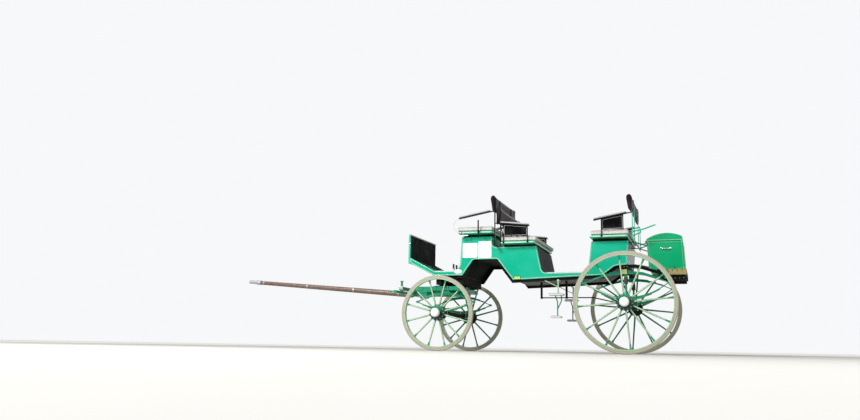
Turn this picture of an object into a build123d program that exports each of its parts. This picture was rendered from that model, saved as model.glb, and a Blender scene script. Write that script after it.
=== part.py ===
from build123d import *
from math import asin, atan2, cos, degrees, sin
import os

# Four-wheeled pair-horse wagonette with three cross benches and a lidded boot.
# Millimetres. +Z is up, the front of the carriage points to -X, its left side is -Y.
# Stations along the carriage are distances behind the front axle; those of the tail are set out
# from the wheelbase.

# Wheels and axles
wheelbase = 2220
front_wheel_diameter = 910
rear_wheel_diameter = 1150
front_track = 1430
rear_track = 1480
spoke_count = 12
front_spoke_turn = 15
rear_spoke_turn = 5.5
tyre_depth = 38
tyre_width = 44
tyre_round = 12
felloe_depth = 12
felloe_width = 46
spoke_root_radius = 11.5
spoke_tip_radius = 9
spoke_dish = 14
hub_radius = 50
hub_inner_length = 84
hub_outer_length = 62
hub_flange_radius = 94
hub_flange_thickness = 8
cap_radius = 54
cap_length = 46
cap_round = 22
axle_arm_radius = 20
axle_arm_clearance = 0.05
axle_tube_radius = 27
drum_radius = 88
drum_length = 34
drum_gap = 8

# Reach ahead of the front axle to the pole's tip
pole_reach = 3110

# Body sides, and the underside and sills that shape them
body_width = 980
side_thickness = 20
floor_thickness = 18
front_under_z = 925
front_sill_z = 985
arch_top_z = 1121
rear_under_front_z = 861
rear_under_back_z = 905
rear_sill_z = 945
tail_z = 1020
dash_x = -450
toe_x = -120
toe_band = 70
floor_back_x = 245
arch_front_x = 384
arch_back_x = 690
cut_back_x = 887
kick_start_x = wheelbase - 265
kick_top_x = wheelbase - 120
kick_top_z = 1013
tail_x = wheelbase + 12
arch_corner = 45
toe_corner = 60
kick_corner = 120
under_corner = 20
sill_corner = 62
step_down_corner = 60
front_foot_corner = 100
top_corner = 6

# Dashboard, upright at the front end of the toe board
dash_thickness = 24
dash_top_z = 1448
dash_bottom_z = 1088
lining_thickness = 6
lining_margin = 36
dash_rail_height = 16
dash_rail_round = 7

# Boxes under the three benches
board_thickness = 18
front_box_top_z = 1400
middle_box_top_z = 1266
rear_box_top_z = 1300
front_box_x = 237
front_box_foot_x = 212
front_box_back_x = 622
middle_box_back_x = 1176
middle_box_foot_x = 1240
rear_box_foot_x = wheelbase - 432
rear_box_x = wheelbase - 388
rear_box_back_x = wheelbase + 38

# Benches: seat boards, cushions, armrests and backrests
seat_width = 1170
seat_board_thickness = 26
seat_board_round = 9
cushion_thickness = 60
cushion_inset = 5
cushion_clearance = 0.3
cushion_corner = 28
riser_width = 60
riser_inset = 14
armrest_thickness = 22
armrest_width = 46
armrest_bar_width = 36
armrest_panel_thickness = 12
armrest_panel_clearance = 4
backrest_width = 1110
backrest_top_radius = 32
backrest_foot_radius = 17
backrest_end_round = 14
backrest_clearance = 0.3
iron_x = 682
rear_iron_x = rear_box_back_x + 54
iron_thickness = 8
iron_width = 30
iron_spread = 300
iron_arm_x = rear_box_back_x - 68
stay_radius = 6
bowed_stay_radius = 4
stay_setout = 1
stay_bow = 74
stay_foot_length = 22
hand_rail_radius = 8
hand_rail_z = 1392
hand_rail_reach = 249
hand_rail_rise = 70
hand_rail_bow = 10
low_rail_z = 1345
low_rail_reach = 81
low_rail_rise = 31

# Chassis rails that follow the underside, and the boot they carry
rail_depth = 32
rail_width = 40
boot_rail_z = 900
rail_crest_x = wheelbase + 110
rail_crest_z = 1024
rail_fall_share = 0.37
rail_fall_z = 932
rail_end_gap = 15
bearer_share = 0.28
bearer_width = 40
hanger_beam_width = 50
hanger_beam_depth = 38
hanger_beam_overhang = 6
platform_share = 0.527
platform_height = 66
platform_overhang = 16
platform_setout = 37
platform_rail_lap = 8
platform_bearer_height = 40
platform_bearer_width = 40
platform_boards = 4
platform_board_gap = 6
boot_inset = 65
boot_setback = 200
boot_length = 395
boot_front_rake = 16
boot_back_rake = 13
boot_rim_z = 1296
boot_wall = 14
boot_corner = 8
lid_gap = 2
lid_wall = 12
lid_front_height = 20
lid_crest_share = 0.583
lid_crest_bow = 0.1345
lid_back_height = 46
lid_back_inset = 6
lid_front_overlap = 2
lid_overhang = 8
lid_corner = 20
hinge_setback = 14
hinge_height = 9
hinge_pin_radius = 5
hinge_clearance = 0.05
hinge_end_clearance = 1
hinge_knuckle_radius = 10
hinge_knuckle_length = 30
hinge_end_length = 14
hinge_leaf_depth = 16
hinge_leaf_lap = 1
hinge_leaf_relief = 2
hinge_spread = 300
stud_share = 0.64
stud_radius = 23
stud_length = 34
tie_radius = 6
tie_front_z = 1305
tie_back_z = 1250

# Turntable and fore-carriage
turntable_radius = 300
turntable_band = 44
turntable_ring_depth = 12
turntable_gap = 0.3
turntable_z = 808
kingpin_radius = 16
kingpin_clearance = 0.05
kingpin_boss = 90
kingpin_lift = 54
bolster_width = 70
bolster_x = (-80, 200)
frame_depth = 48
frame_beam_x = (-335, -150, 150)
frame_beam_width = 70
frame_spine_width = 130
frame_side_width = 46
frame_plate_x = (-370, -180)
frame_plate_drop = 18
futchell_y = 68
futchell_width = 46
futchell_back_x = 185
splinter_x = -540
splinter_width = 54
splinter_depth = 40
splinter_half_length = 560
splinter_round = 8
roller_y = 530
roller_radius = 14
roller_height = 62
roller_head_radius = 20
roller_head_height = 12
swingletree_x = -600
swingletree_y = 360
swingletree_half_length = 250
swingletree_width = 44
swingletree_depth = 32
swingletree_round = 12
swingletree_gap = 6
swingletree_bracket_width = 52
swingletree_bracket_depth = 12
swingletree_pin_radius = 9
swingletree_pin_clearance = 0.05
pin_head_radius = 18
pin_head_height = 7
hook_radius = 7
hook_length = 34
hook_head = 8
hook_head_radius = 11
pole_butt_x = -170
pole_bend_x = -600
pole_tip_z = 925
pole_radius = 38
pole_tip_radius = 27
pole_head_radius = 25
pole_head_length = 130
pole_collar_radius = 33
pole_collar_length = 60

# Springs: full ellipses of stacked leaves
leaf_thickness = 8
leaf_width = 46
leaf_count = 4
leaf_shortening = 0.2
spring_eye_radius = 14
spring_pad_length = 110
spring_pad_depth = 8
front_spring_setin = 90
front_spring_half_length = 372
front_spring_eye_z = 605
front_spring_fall = 84
front_spring_rise = 88
rear_spring_setout = 26
rear_spring_half_length = 466
rear_spring_eye_z = 808
rear_spring_fall = 168
rear_spring_rise = 105
buffer_cup_radius = 20
buffer_rod_radius = 12
buffer_cup_foot_z = 800

# Entrance steps
step_x = 1426
step_hanger_x = 1447
step_bar_width = 15
step_bar_thickness = 12
step_knob_radius = 14
step_knob_height = 8
upper_tread_z = 684
upper_tread_length = 170
upper_tread_depth = 135
lower_tread_z = 422
lower_tread_length = 118
lower_tread_depth = 115
tread_thickness = 20
step_hanger_setout = 70
upper_tread_setout = 4
lower_tread_setout = 18
step_stay_radius = 5
step_stay_x = 1245
step_stay_z = 765
step_fork_radius = 7
step_forks = (
    ((1410, 674), (1437, 590), (1437, 412)),
    ((1482, 674), (1485, 605), (1437, 505)),
)

# Foot brake
pedal_x = 70
pedal_setin = (140, 270)
pedal_lean = 30
pedal_foot_z = 1030
pedal_top_z = 1088
pedal_width = 60
pedal_thickness = 8
pedal_arm_radius = 8
pedal_arm_drop = 20
pedal_foot_length = 60
pedal_foot_width = 50

brake_rod_radius = 7
brake_rod_z = 675
brake_rod_bend_x = 1780
brake_hanger_x = (1140, 1453)
brake_hanger_width = 26
brake_hanger_thickness = 12

# Socket for the whip
whip_socket_radius = 6.5
whip_socket_wall = 2
whip_socket_length = 190
whip_socket_x = 484
whip_socket_foot_z = 1400
whip_clearance = 4

boot_x = rear_box_back_x + boot_setback
boot_foot_x = boot_x + boot_front_rake
boot_back_foot_x = boot_foot_x + boot_length
boot_back_x = boot_back_foot_x - boot_back_rake
boot_reach = boot_back_foot_x + platform_overhang
front_axle_x = (pole_reach - boot_reach) / 2
rear_axle_x = front_axle_x + wheelbase
front_radius = front_wheel_diameter / 2
rear_radius = rear_wheel_diameter / 2
half_body = body_width / 2
half_seat = seat_width / 2
inner_half = half_body - side_thickness
rail_y = inner_half - rail_width / 2
bearer_half_length = rail_y - rail_width / 2
frame_half_width = bearer_half_length
half_boot = half_body - boot_inset
rear_spring_y = half_body + rear_spring_setout
front_spring_y = half_body - front_spring_setin
step_hanger_y = half_body + step_hanger_setout
pedal_y = [distance - inner_half for distance in pedal_setin]
platform_x = boot_foot_x + platform_share * boot_length
boot_rail_x = platform_x + platform_rail_lap
rail_fall_x = boot_foot_x + rail_fall_share * boot_length
bearer_x = boot_foot_x + bearer_share * boot_length
stud_x = boot_foot_x + stud_share * boot_length
hinge_x = boot_x - hinge_setback
platform_half_width = half_boot + platform_setout
frame_top_z = turntable_z - turntable_ring_depth
frame_bottom_z = frame_top_z - frame_depth
stack_reach = leaf_thickness * (leaf_count - 0.5)
sides = {"left": -1, "right": 1}


def aft(distance):
    """X of a place this far behind the front axle."""
    return front_axle_x + distance


def store(piece, label):
    """Label a finished piece and write its file."""
    piece.part.label = label
    export_step(piece.part, f"parts/{label}.step")


def shifted(path, distance):
    """The path moved square to itself: to the left of its direction for a positive distance."""
    path = [Vector(*point) for point in path]
    headings = [(b - a).normalized() for a, b in zip(path, path[1:])]
    moved = []
    for i, point in enumerate(path):
        first = headings[max(i - 1, 0)]
        last = headings[min(i, len(headings) - 1)]
        square = (Vector(-first.Y, first.X) + Vector(-last.Y, last.X)).normalized()
        stretch = distance / (square.X * -first.Y + square.Y * first.X)
        moved.append((point.X + square.X * stretch, point.Y + square.Y * stretch))
    return moved


def outline(corners):
    """A face in the current sketch with these corners: place, height and corner radius."""
    Polygon(*[(x, z) for x, z, radius in corners], align=None)
    for x, z, radius in corners:
        if radius:
            fillet(vertices().sort_by_distance((x, z))[0], radius)


def band(path, other):
    """A face in the current sketch between two like paths."""
    Polygon(*path, *reversed(other), align=None)


def block(low, high):
    """A block from its lowest to its highest corner."""
    with Locations(tuple((a + b) / 2 for a, b in zip(low, high))):
        Box(*[b - a for a, b in zip(low, high)])


def rod(start, end, radius, end_radius=None):
    """A round bar from one point to another, tapered if it has an end radius."""
    run = Vector(end) - Vector(start)
    seat = (Align.CENTER, Align.CENTER, Align.MIN)
    with Locations(Plane(origin=start, z_dir=run)):
        if end_radius is None:
            Cylinder(radius, run.length, align=seat)
        else:
            Cone(radius, end_radius, run.length, align=seat)


def leaf_stack(x, eye_z, half_length, height):
    """Half an elliptic spring in the current sketch, bowed up for a positive height."""
    way = 1 if height > 0 else -1
    main_radius = (half_length ** 2 + height ** 2) / (2 * abs(height))
    centre_z = eye_z + height - way * main_radius
    for i in range(leaf_count):
        middle = main_radius + i * leaf_thickness
        reach = asin(half_length * (1 - leaf_shortening * i) / middle)
        ends = []
        for radius in (middle - leaf_thickness / 2, middle + leaf_thickness / 2):
            ends.append([
                (x + radius * sin(turn), centre_z + way * radius * cos(turn))
                for turn in (-reach, 0, reach)
            ])
        inner, outer = ends
        make_face([
            Edge.make_three_point_arc(*inner),
            Edge.make_line(inner[2], outer[2]),
            Edge.make_three_point_arc(*reversed(outer)),
            Edge.make_line(outer[0], inner[0]),
        ])


def elliptic_spring(x, eye_z, half_length, rise, fall, top_z):
    """A whole spring in the current sketch, with its eyes and the pads it is clamped by."""
    leaf_stack(x, eye_z, half_length, rise)
    leaf_stack(x, eye_z, half_length, -fall)
    with Locations((x - half_length, eye_z), (x + half_length, eye_z)):
        Circle(spring_eye_radius)
    foot_z = eye_z - fall - stack_reach
    for low, high in (
        (eye_z + rise + stack_reach - leaf_thickness / 2, top_z),
        (foot_z - spring_pad_depth, foot_z + leaf_thickness / 2),
    ):
        with Locations((x, (low + high) / 2)):
            Rectangle(spring_pad_length, high - low)


def axle(x, z, track, seat_y, seat_z):
    """A tube with round arms, brake drums and the seats of its springs."""
    drum_inner = track / 2 - hub_inner_length - drum_gap - drum_length
    arm_end = track / 2 + hub_outer_length - drum_gap
    rod((x, -drum_inner, z), (x, drum_inner, z), axle_tube_radius)
    rod((x, -arm_end, z), (x, arm_end, z), axle_arm_radius)
    for side in sides.values():
        rod((x, side * drum_inner, z), (x, side * (drum_inner + drum_length), z), drum_radius)
        block(
            (x - spring_pad_length / 2, side * seat_y - leaf_width / 2, z),
            (x + spring_pad_length / 2, side * seat_y + leaf_width / 2, seat_z),
        )


os.makedirs("parts", exist_ok=True)

# The underside's corners from the dash to the tail: station, height, corner radius
underside = (
    (dash_x, dash_bottom_z + 4, 0),
    (toe_x, front_under_z, toe_corner),
    (floor_back_x, front_under_z, under_corner),
    (arch_front_x, arch_top_z, arch_corner),
    (arch_back_x, arch_top_z, arch_corner),
    (cut_back_x, rear_under_front_z, under_corner),
    (kick_start_x, rear_under_back_z, toe_corner),
    (kick_top_x, kick_top_z, kick_corner),
    (tail_x, tail_z, 0),
)
under_path = [(aft(x), z) for x, z, radius in underside]
floor_path = shifted(under_path, floor_thickness)
floor_top_z = front_under_z + floor_thickness
arch_floor_z = arch_top_z + floor_thickness
rear_floor_slope = (rear_under_back_z - rear_under_front_z) / (kick_start_x - cut_back_x)


def rear_under_at(station):
    """Height of the rear underside at a station between the cut-under and the kick."""
    return rear_under_front_z + rear_floor_slope * (station - cut_back_x)


# The top edge's corners from the tail back to the dash, with the sills and box tops
top_edge = (
    (rear_box_back_x, rear_box_top_z, top_corner),
    (rear_box_x, rear_box_top_z, top_corner),
    (rear_box_foot_x, rear_sill_z, sill_corner),
    (middle_box_foot_x, rear_sill_z, sill_corner),
    (middle_box_back_x, middle_box_top_z, top_corner),
    (front_box_back_x, middle_box_top_z, step_down_corner),
    (front_box_back_x, front_box_top_z, top_corner),
    (front_box_x, front_box_top_z, top_corner),
    (front_box_foot_x, front_sill_z, front_foot_corner),
    (toe_x, front_sill_z, toe_corner),
    (dash_x, dash_bottom_z + 4 + toe_band, 0),
)
for name, side in sides.items():
    with BuildPart() as body_side:
        with BuildSketch(Plane.XZ.offset(-side * (half_body - side_thickness / 2))):
            outline([(aft(x), z, radius) for x, z, radius in underside + top_edge])
        extrude(amount=side_thickness / 2, both=True)
    store(body_side, f"body_side_{name}")

# Floors and the arched panel over the turning front wheels, mitred where they meet
floors = {"front_floor": slice(None, 3), "arch_panel": slice(2, 6), "rear_floor": slice(5, None)}
for name, stretch in floors.items():
    with BuildPart() as floor:
        with BuildSketch(Plane.XZ):
            band(under_path[stretch], floor_path[stretch])
        extrude(amount=inner_half, both=True)
    store(floor, name)

# Boxes of three boards under the benches; the body sides close their ends
box_paths = {
    "front_seat_box": (
        (front_box_foot_x, floor_top_z + 1),
        (front_box_x, front_box_top_z),
        (front_box_back_x, front_box_top_z),
        (front_box_back_x, arch_floor_z),
    ),
    "middle_seat_box": (
        (front_box_back_x, middle_box_top_z),
        (middle_box_back_x, middle_box_top_z),
        (middle_box_foot_x + 10, rear_under_at(middle_box_foot_x) + floor_thickness + 4),
    ),
    "rear_seat_box": (
        (rear_box_foot_x - 3, rear_under_at(rear_box_foot_x) + floor_thickness + 3),
        (rear_box_x, rear_box_top_z),
        (rear_box_back_x, rear_box_top_z),
        (tail_x + 2, tail_z + floor_thickness + 2),
    ),
}
for name, stations in box_paths.items():
    path = [(aft(x), z) for x, z in stations]
    with BuildPart() as box:
        with BuildSketch(Plane.XZ):
            band(path, shifted(path, -board_thickness))
        extrude(amount=inner_half, both=True)
    store(box, name)

with BuildPart() as dashboard:
    block(
        (aft(dash_x) - dash_thickness, -half_body, dash_bottom_z),
        (aft(dash_x), half_body, dash_top_z),
    )
store(dashboard, "dashboard")

with BuildPart() as dash_lining:
    block(
        (aft(dash_x), -inner_half, dash_bottom_z + lining_margin),
        (aft(dash_x) + lining_thickness, inner_half, dash_top_z),
    )
store(dash_lining, "dash_lining")

with BuildPart() as dash_rail:
    with BuildSketch(Plane.XZ):
        rail_x = (aft(dash_x) - dash_thickness, aft(dash_x) + lining_thickness)
        rail_top_z = dash_top_z + dash_rail_height
        outline((
            (rail_x[0], dash_top_z, 0),
            (rail_x[1], dash_top_z, 0),
            (rail_x[1], rail_top_z, dash_rail_round),
            (rail_x[0], rail_top_z, dash_rail_round),
        ))
    extrude(amount=half_body, both=True)
store(dash_rail, "dash_rail")

# Benches: box top, riser height, board ends, cushion ends, and the armrest from its free end
# to its backrest end as station and height, with the ends of the panel below it, if it has one,
# and the knee of a second stay
benches = {
    "front": {
        "box": (front_box_x, front_box_back_x, front_box_top_z),
        "riser": 30,
        "board": (215, 652),
        "cushion": (203, 656),
        "armrest": ((228, 1623), (629, 1697)),
    },
    "middle": {
        "box": (755, middle_box_back_x, middle_box_top_z),
        "riser": 26,
        "board": (756, 1170),
        "cushion": (762, 1192),
        "armrest": ((1112, 1506), (748, 1545)),
        "panel": (790, 1090),
        "knee": (790, 1405),
    },
    "rear": {
        "box": (rear_box_x, rear_box_back_x, rear_box_top_z),
        "riser": 34,
        "board": (rear_box_x - 8, rear_box_back_x - 2),
        "cushion": (rear_box_x + 6, rear_box_back_x + 12),
        "armrest": ((rear_box_x + 42, 1541), (rear_box_back_x - 4, 1611)),
        "panel": (rear_box_x + 133, rear_box_back_x - 43),
    },
}
with BuildPart() as seat_risers:
    for bench in benches.values():
        front, back, top_z = bench["box"]
        for side in sides.values():
            outer = side * (inner_half - riser_inset / 2)
            inner = outer - side * riser_width
            block(
                (aft(front + riser_inset), min(outer, inner), top_z),
                (aft(back - riser_inset), max(outer, inner), top_z + bench["riser"]),
            )
store(seat_risers, "seat_risers")

for name, bench in benches.items():
    board_z = bench["box"][2] + bench["riser"]
    front, back = [aft(station) for station in bench["board"]]
    with BuildPart() as seat_board:
        block((front, -half_seat, board_z), (back, half_seat, board_z + seat_board_thickness))
        fillet(seat_board.edges().filter_by(Axis.Z), cushion_corner)
        fillet(seat_board.faces().sort_by(Axis.Z)[0].edges(), seat_board_round)
    store(seat_board, f"seat_board_{name}")
    cushion_z = board_z + seat_board_thickness + cushion_clearance
    front, back = [aft(station) for station in bench["cushion"]]
    half = half_seat - cushion_inset
    with BuildPart() as cushion:
        block((front, -half, cushion_z), (back, half, cushion_z + cushion_thickness))
        fillet(cushion.edges().filter_by(Axis.Z), cushion_corner)
        fillet(cushion.faces().sort_by(Axis.Z)[-1].edges(), cushion_thickness / 4)
    store(cushion, f"cushion_{name}")
    bench["cushion_top"] = cushion_z + cushion_thickness


def armrest_at(bench, x):
    """Height of the line of a bench's armrest underside at this X."""
    (x0, z0), (x1, z1) = bench["armrest"]
    return z0 + (z1 - z0) * (x - aft(x0)) / (x1 - x0)


# Armrests: a pad along each end of the bench, and the leather panel below its iron
armrest_y = half_seat
with BuildPart() as armrests:
    for bench in benches.values():
        path = [(aft(x), z) for x, z in sorted(bench["armrest"])]
        panel_foot = bench["cushion_top"] + armrest_panel_clearance
        panel_ends = [aft(station) for station in bench.get("panel", ())]
        (x0, z0), (x1, z1) = path
        drop = iron_thickness * (1 + ((z1 - z0) / (x1 - x0)) ** 2) ** 0.5
        panel = [(x, armrest_at(bench, x) - drop) for x in panel_ends]
        panel += [(x, panel_foot) for x in reversed(panel_ends)]
        for side in sides.values():
            with BuildSketch(Plane.XZ.offset(-side * armrest_y)):
                band(path, shifted(path, armrest_thickness))
            extrude(amount=armrest_width / 2, both=True)
            if panel:
                with BuildSketch(Plane.XZ.offset(-side * (armrest_y - armrest_panel_thickness))):
                    Polygon(*panel, align=None)
                extrude(amount=armrest_panel_thickness / 2, both=True)
store(armrests, "armrests")

# Backrests: a thick roll on a thin foot. Place of the iron they lean on, roll and foot heights,
# and the side of the iron that the pad is on: -1 ahead of it, 1 behind it
backrests = {
    "front": (iron_x, 1873, 1708, -1),
    "middle": (iron_x + iron_thickness, 1718, 1556, 1),
    "rear": (rear_iron_x, 1808, 1664, -1),
}
for name, (face_x, roll_z, foot_z, way) in backrests.items():
    with BuildPart() as backrest:
        with BuildSketch(Plane.XZ):
            with Locations((aft(face_x + way * (backrest_top_radius + backrest_clearance)), roll_z)):
                Circle(backrest_top_radius)
            with Locations((aft(face_x + way * (backrest_foot_radius + backrest_clearance)), foot_z)):
                Circle(backrest_foot_radius)
            make_hull()
        extrude(amount=backrest_width / 2, both=True)
        ends = backrest.faces().filter_by(Axis.Y)
        fillet(ends.edges(), backrest_end_round)
    store(backrest, f"backrest_{name}")

# Irons: uprights on a strap, a bar under each armrest, and a stay from it to the board: upright at
# the panel's end, or bowed out from the free end where there is no panel. Face of the uprights,
# the height they stand on, the strap's length and height, the start of the arms that carry the
# strap, if it has any, and the benches that the irons serve
strap_half = half_seat + iron_width / 2
stay_bends = ((0.8, 0.2), (1, 0.53), (0.72, 0.8), (0.25, 0.96))
iron_sets = {
    "seat_irons": (iron_x, middle_box_top_z, (iron_width, iron_thickness), (), ("front", "middle")),
    "rear_irons": (rear_iron_x, rear_box_top_z, (iron_thickness, iron_width), (iron_arm_x,), ("rear",)),
}
for label, (face_x, foot_z, (strap_length, strap_height), arms, served) in iron_sets.items():
    front_face = aft(face_x)
    back_face = front_face + iron_thickness
    middle_x = (front_face + back_face) / 2
    bar_z = max(armrest_at(benches[name], middle_x) for name in served)
    with BuildPart() as irons:
        block(
            (front_face, -strap_half, foot_z),
            (front_face + strap_length, strap_half, foot_z + strap_height),
        )
        for side in sides.values():
            for y, top_z in (
                (side * iron_spread, backrests[served[0]][1]),
                (side * half_seat, bar_z),
            ):
                block((front_face, y - iron_width / 2, foot_z), (back_face, y + iron_width / 2, top_z))
            for arm_x in arms:
                block(
                    (aft(arm_x), side * iron_spread - iron_width / 2, foot_z),
                    (front_face, side * iron_spread + iron_width / 2, foot_z + iron_thickness),
                )
            for bench in [benches[name] for name in served]:
                free_x, rest_x = [aft(station) for station, height in bench["armrest"]]
                way = -1 if free_x < rest_x else 1
                bar = [(x, armrest_at(bench, x)) for x in sorted((free_x, middle_x))]
                with BuildSketch(Plane.XZ.offset(-side * half_seat)):
                    band(bar, shifted(bar, -iron_thickness))
                extrude(amount=armrest_bar_width / 2, both=True)
                board_z = bench["box"][2] + bench["riser"] + seat_board_thickness / 2
                ends = sorted(bench["board"], reverse=way > 0)
                inset = cushion_corner + stay_foot_length / 2
                feet = [aft(ends[0]) - way * inset, aft(ends[1]) + way * inset]
                if "panel" in bench:
                    radius = stay_radius
                    feet[0] = start_x = aft(sorted(bench["panel"], reverse=way > 0)[0])
                else:
                    radius = bowed_stay_radius
                    start_x = free_x - way * radius
                start_z = armrest_at(bench, start_x) - iron_thickness + 1
                fall = start_z - board_z
                bends = [(start_x + way * stay_bow * out, start_z - fall * down) for out, down in stay_bends]
                stays = [[(start_x, start_z), *([] if "panel" in bench else bends), (feet[0], board_z)]]
                for knee_x, knee_z in [bench["knee"]] if "knee" in bench else []:
                    head_x = rest_x + way * radius
                    head_z = armrest_at(bench, head_x) - iron_thickness + 1
                    stays.append([(head_x, head_z), (aft(knee_x), knee_z), (feet[1], board_z)])
                for stay, stay_foot_x in zip(stays, feet):
                    stay = [(x, side * (half_seat + stay_setout + radius), z) for x, z in stay]
                    if "panel" in bench:
                        for start, end in zip(stay, stay[1:]):
                            rod(start, end, radius)
                        for bend in stay[1:-1]:
                            with Locations(bend):
                                Sphere(radius)
                    else:
                        with BuildLine() as route:
                            Spline(*stay)
                        with BuildSketch(Plane(origin=stay[0], z_dir=route.line % 0)):
                            Circle(radius)
                        sweep()
                    stay_sides = sorted((side * half_seat, side * (half_seat + iron_thickness)))
                    reach = stay_foot_length / 2
                    block(
                        (stay_foot_x - reach, stay_sides[0], board_z - seat_board_thickness / 4),
                        (stay_foot_x + reach, stay_sides[1], board_z + seat_board_thickness / 2),
                    )
    store(irons, label)

rear_front_face = aft(rear_iron_x)
rear_back_face = rear_front_face + iron_thickness
with BuildPart() as hand_rails:
    for side in sides.values():
        y = side * half_seat
        bow_x = rear_back_face + hand_rail_reach / 2
        bow_z = hand_rail_z + hand_rail_rise / 2 - hand_rail_bow
        upper = [(rear_back_face, y, hand_rail_z), (bow_x, y, bow_z)]
        upper.append((rear_back_face + hand_rail_reach, y, hand_rail_z + hand_rail_rise))
        lower = [(rear_back_face, y, low_rail_z)]
        lower.append((rear_back_face + low_rail_reach, y, low_rail_z + low_rail_rise))
        meet_z = hand_rail_z + (bow_z - hand_rail_z) * low_rail_reach / (hand_rail_reach / 2)
        rod(*upper[:2], hand_rail_radius)
        rod(*upper[1:], hand_rail_radius)
        rod(*lower, hand_rail_radius)
        rod(lower[1], (lower[1][0], y, meet_z), hand_rail_radius)
        for foot in (upper[0], lower[0]):
            rod(foot, (foot[0] + iron_thickness, y, foot[2]), iron_width / 2)
        with Locations(lower[1], *upper[1:]):
            Sphere(hand_rail_radius)
    split(bisect_by=Plane.YZ.offset(rear_back_face), keep=Keep.TOP)
store(hand_rails, "hand_rails")

with BuildPart() as whip_socket:
    whip_socket_outer = whip_socket_radius + whip_socket_wall
    whip_x = aft(whip_socket_x)
    whip_y = -(half_seat + armrest_width / 2 + whip_clearance + whip_socket_outer)
    whip_top_z = whip_socket_foot_z + whip_socket_length
    rod((whip_x, whip_y, whip_socket_foot_z), (whip_x, whip_y, whip_top_z), whip_socket_outer)
    board_z = front_box_top_z + benches["front"]["riser"]
    block(
        (whip_x - whip_socket_outer, whip_y, board_z + seat_board_round),
        (whip_x + whip_socket_outer, -half_seat, board_z + seat_board_thickness),
    )
    with Locations((whip_x, whip_y, whip_top_z)):
        Cylinder(whip_socket_radius, 2 * (whip_socket_length - whip_socket_wall), mode=Mode.SUBTRACT)
store(whip_socket, "whip_socket")

with BuildPart() as foot_brake:
    for y in pedal_y:
        foot_x = aft(pedal_x + pedal_lean + pedal_thickness)
        block(
            (aft(pedal_x), y - pedal_width / 2, pedal_foot_z),
            (aft(pedal_x) + pedal_thickness, y + pedal_width / 2, pedal_top_z),
        )
        arm_top = (aft(pedal_x) + pedal_thickness / 2, y, pedal_top_z - pedal_arm_drop)
        rod((foot_x, y, floor_top_z), arm_top, pedal_arm_radius)
        block(
            (foot_x - pedal_foot_length / 2, y - pedal_foot_width / 2, floor_top_z),
            (foot_x + pedal_foot_length / 2, y + pedal_foot_width / 2, floor_top_z + pedal_thickness),
        )
    split(bisect_by=Plane.XY.offset(floor_top_z), keep=Keep.TOP)
store(foot_brake, "foot_brake")

# Chassis rails: under the body along its whole underside, over the rear springs, under the boot
rail_top = [(x, z) for x, z in under_path[1:]]
rail_top += [
    (aft(rail_crest_x), rail_crest_z),
    (aft(rail_fall_x), rail_fall_z),
    (aft(boot_rail_x), boot_rail_z),
    (aft(boot_reach - rail_end_gap), boot_rail_z),
]
platform_top_z = boot_rail_z + platform_height
hanger_top_z = tail_z - rail_depth
hanger_bottom_z = hanger_top_z - hanger_beam_depth
for name, side in sides.items():
    with BuildPart() as chassis_rail:
        with BuildSketch(Plane.XZ.offset(-side * rail_y)):
            band(rail_top, shifted(rail_top, -rail_depth))
        extrude(amount=rail_width / 2, both=True)
    store(chassis_rail, f"chassis_rail_{name}")

with BuildPart() as chassis_beams:
    beam_half_length = rear_spring_y + leaf_width / 2 + hanger_beam_overhang
    block(
        (rear_axle_x - hanger_beam_width / 2, -beam_half_length, hanger_bottom_z),
        (rear_axle_x + hanger_beam_width / 2, beam_half_length, hanger_top_z),
    )
    block(
        (aft(bearer_x) - bearer_width / 2, -bearer_half_length, platform_top_z - bearer_width),
        (aft(bearer_x) + bearer_width / 2, bearer_half_length, platform_top_z),
    )
    for side in sides.values():
        with BuildSketch(Plane.XZ.offset(-side * rail_y)):
            band(rail_top, shifted(rail_top, -rail_depth))
        extrude(amount=rail_width / 2, both=True, mode=Mode.SUBTRACT)
store(chassis_beams, "chassis_beams")

with BuildPart() as boot_platform:
    for side in sides.values():
        ends = sorted((side * (platform_half_width - platform_bearer_width), side * platform_half_width))
        block(
            (aft(boot_rail_x), ends[0], boot_rail_z),
            (aft(boot_reach), ends[1], boot_rail_z + platform_bearer_height),
        )
    pitch = (boot_reach - platform_x + platform_board_gap) / platform_boards
    for i in range(platform_boards):
        start = aft(platform_x) + i * pitch
        block(
            (start, -platform_half_width, boot_rail_z + platform_bearer_height),
            (start + pitch - platform_board_gap, platform_half_width, platform_top_z),
        )
store(boot_platform, "boot_platform")

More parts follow.
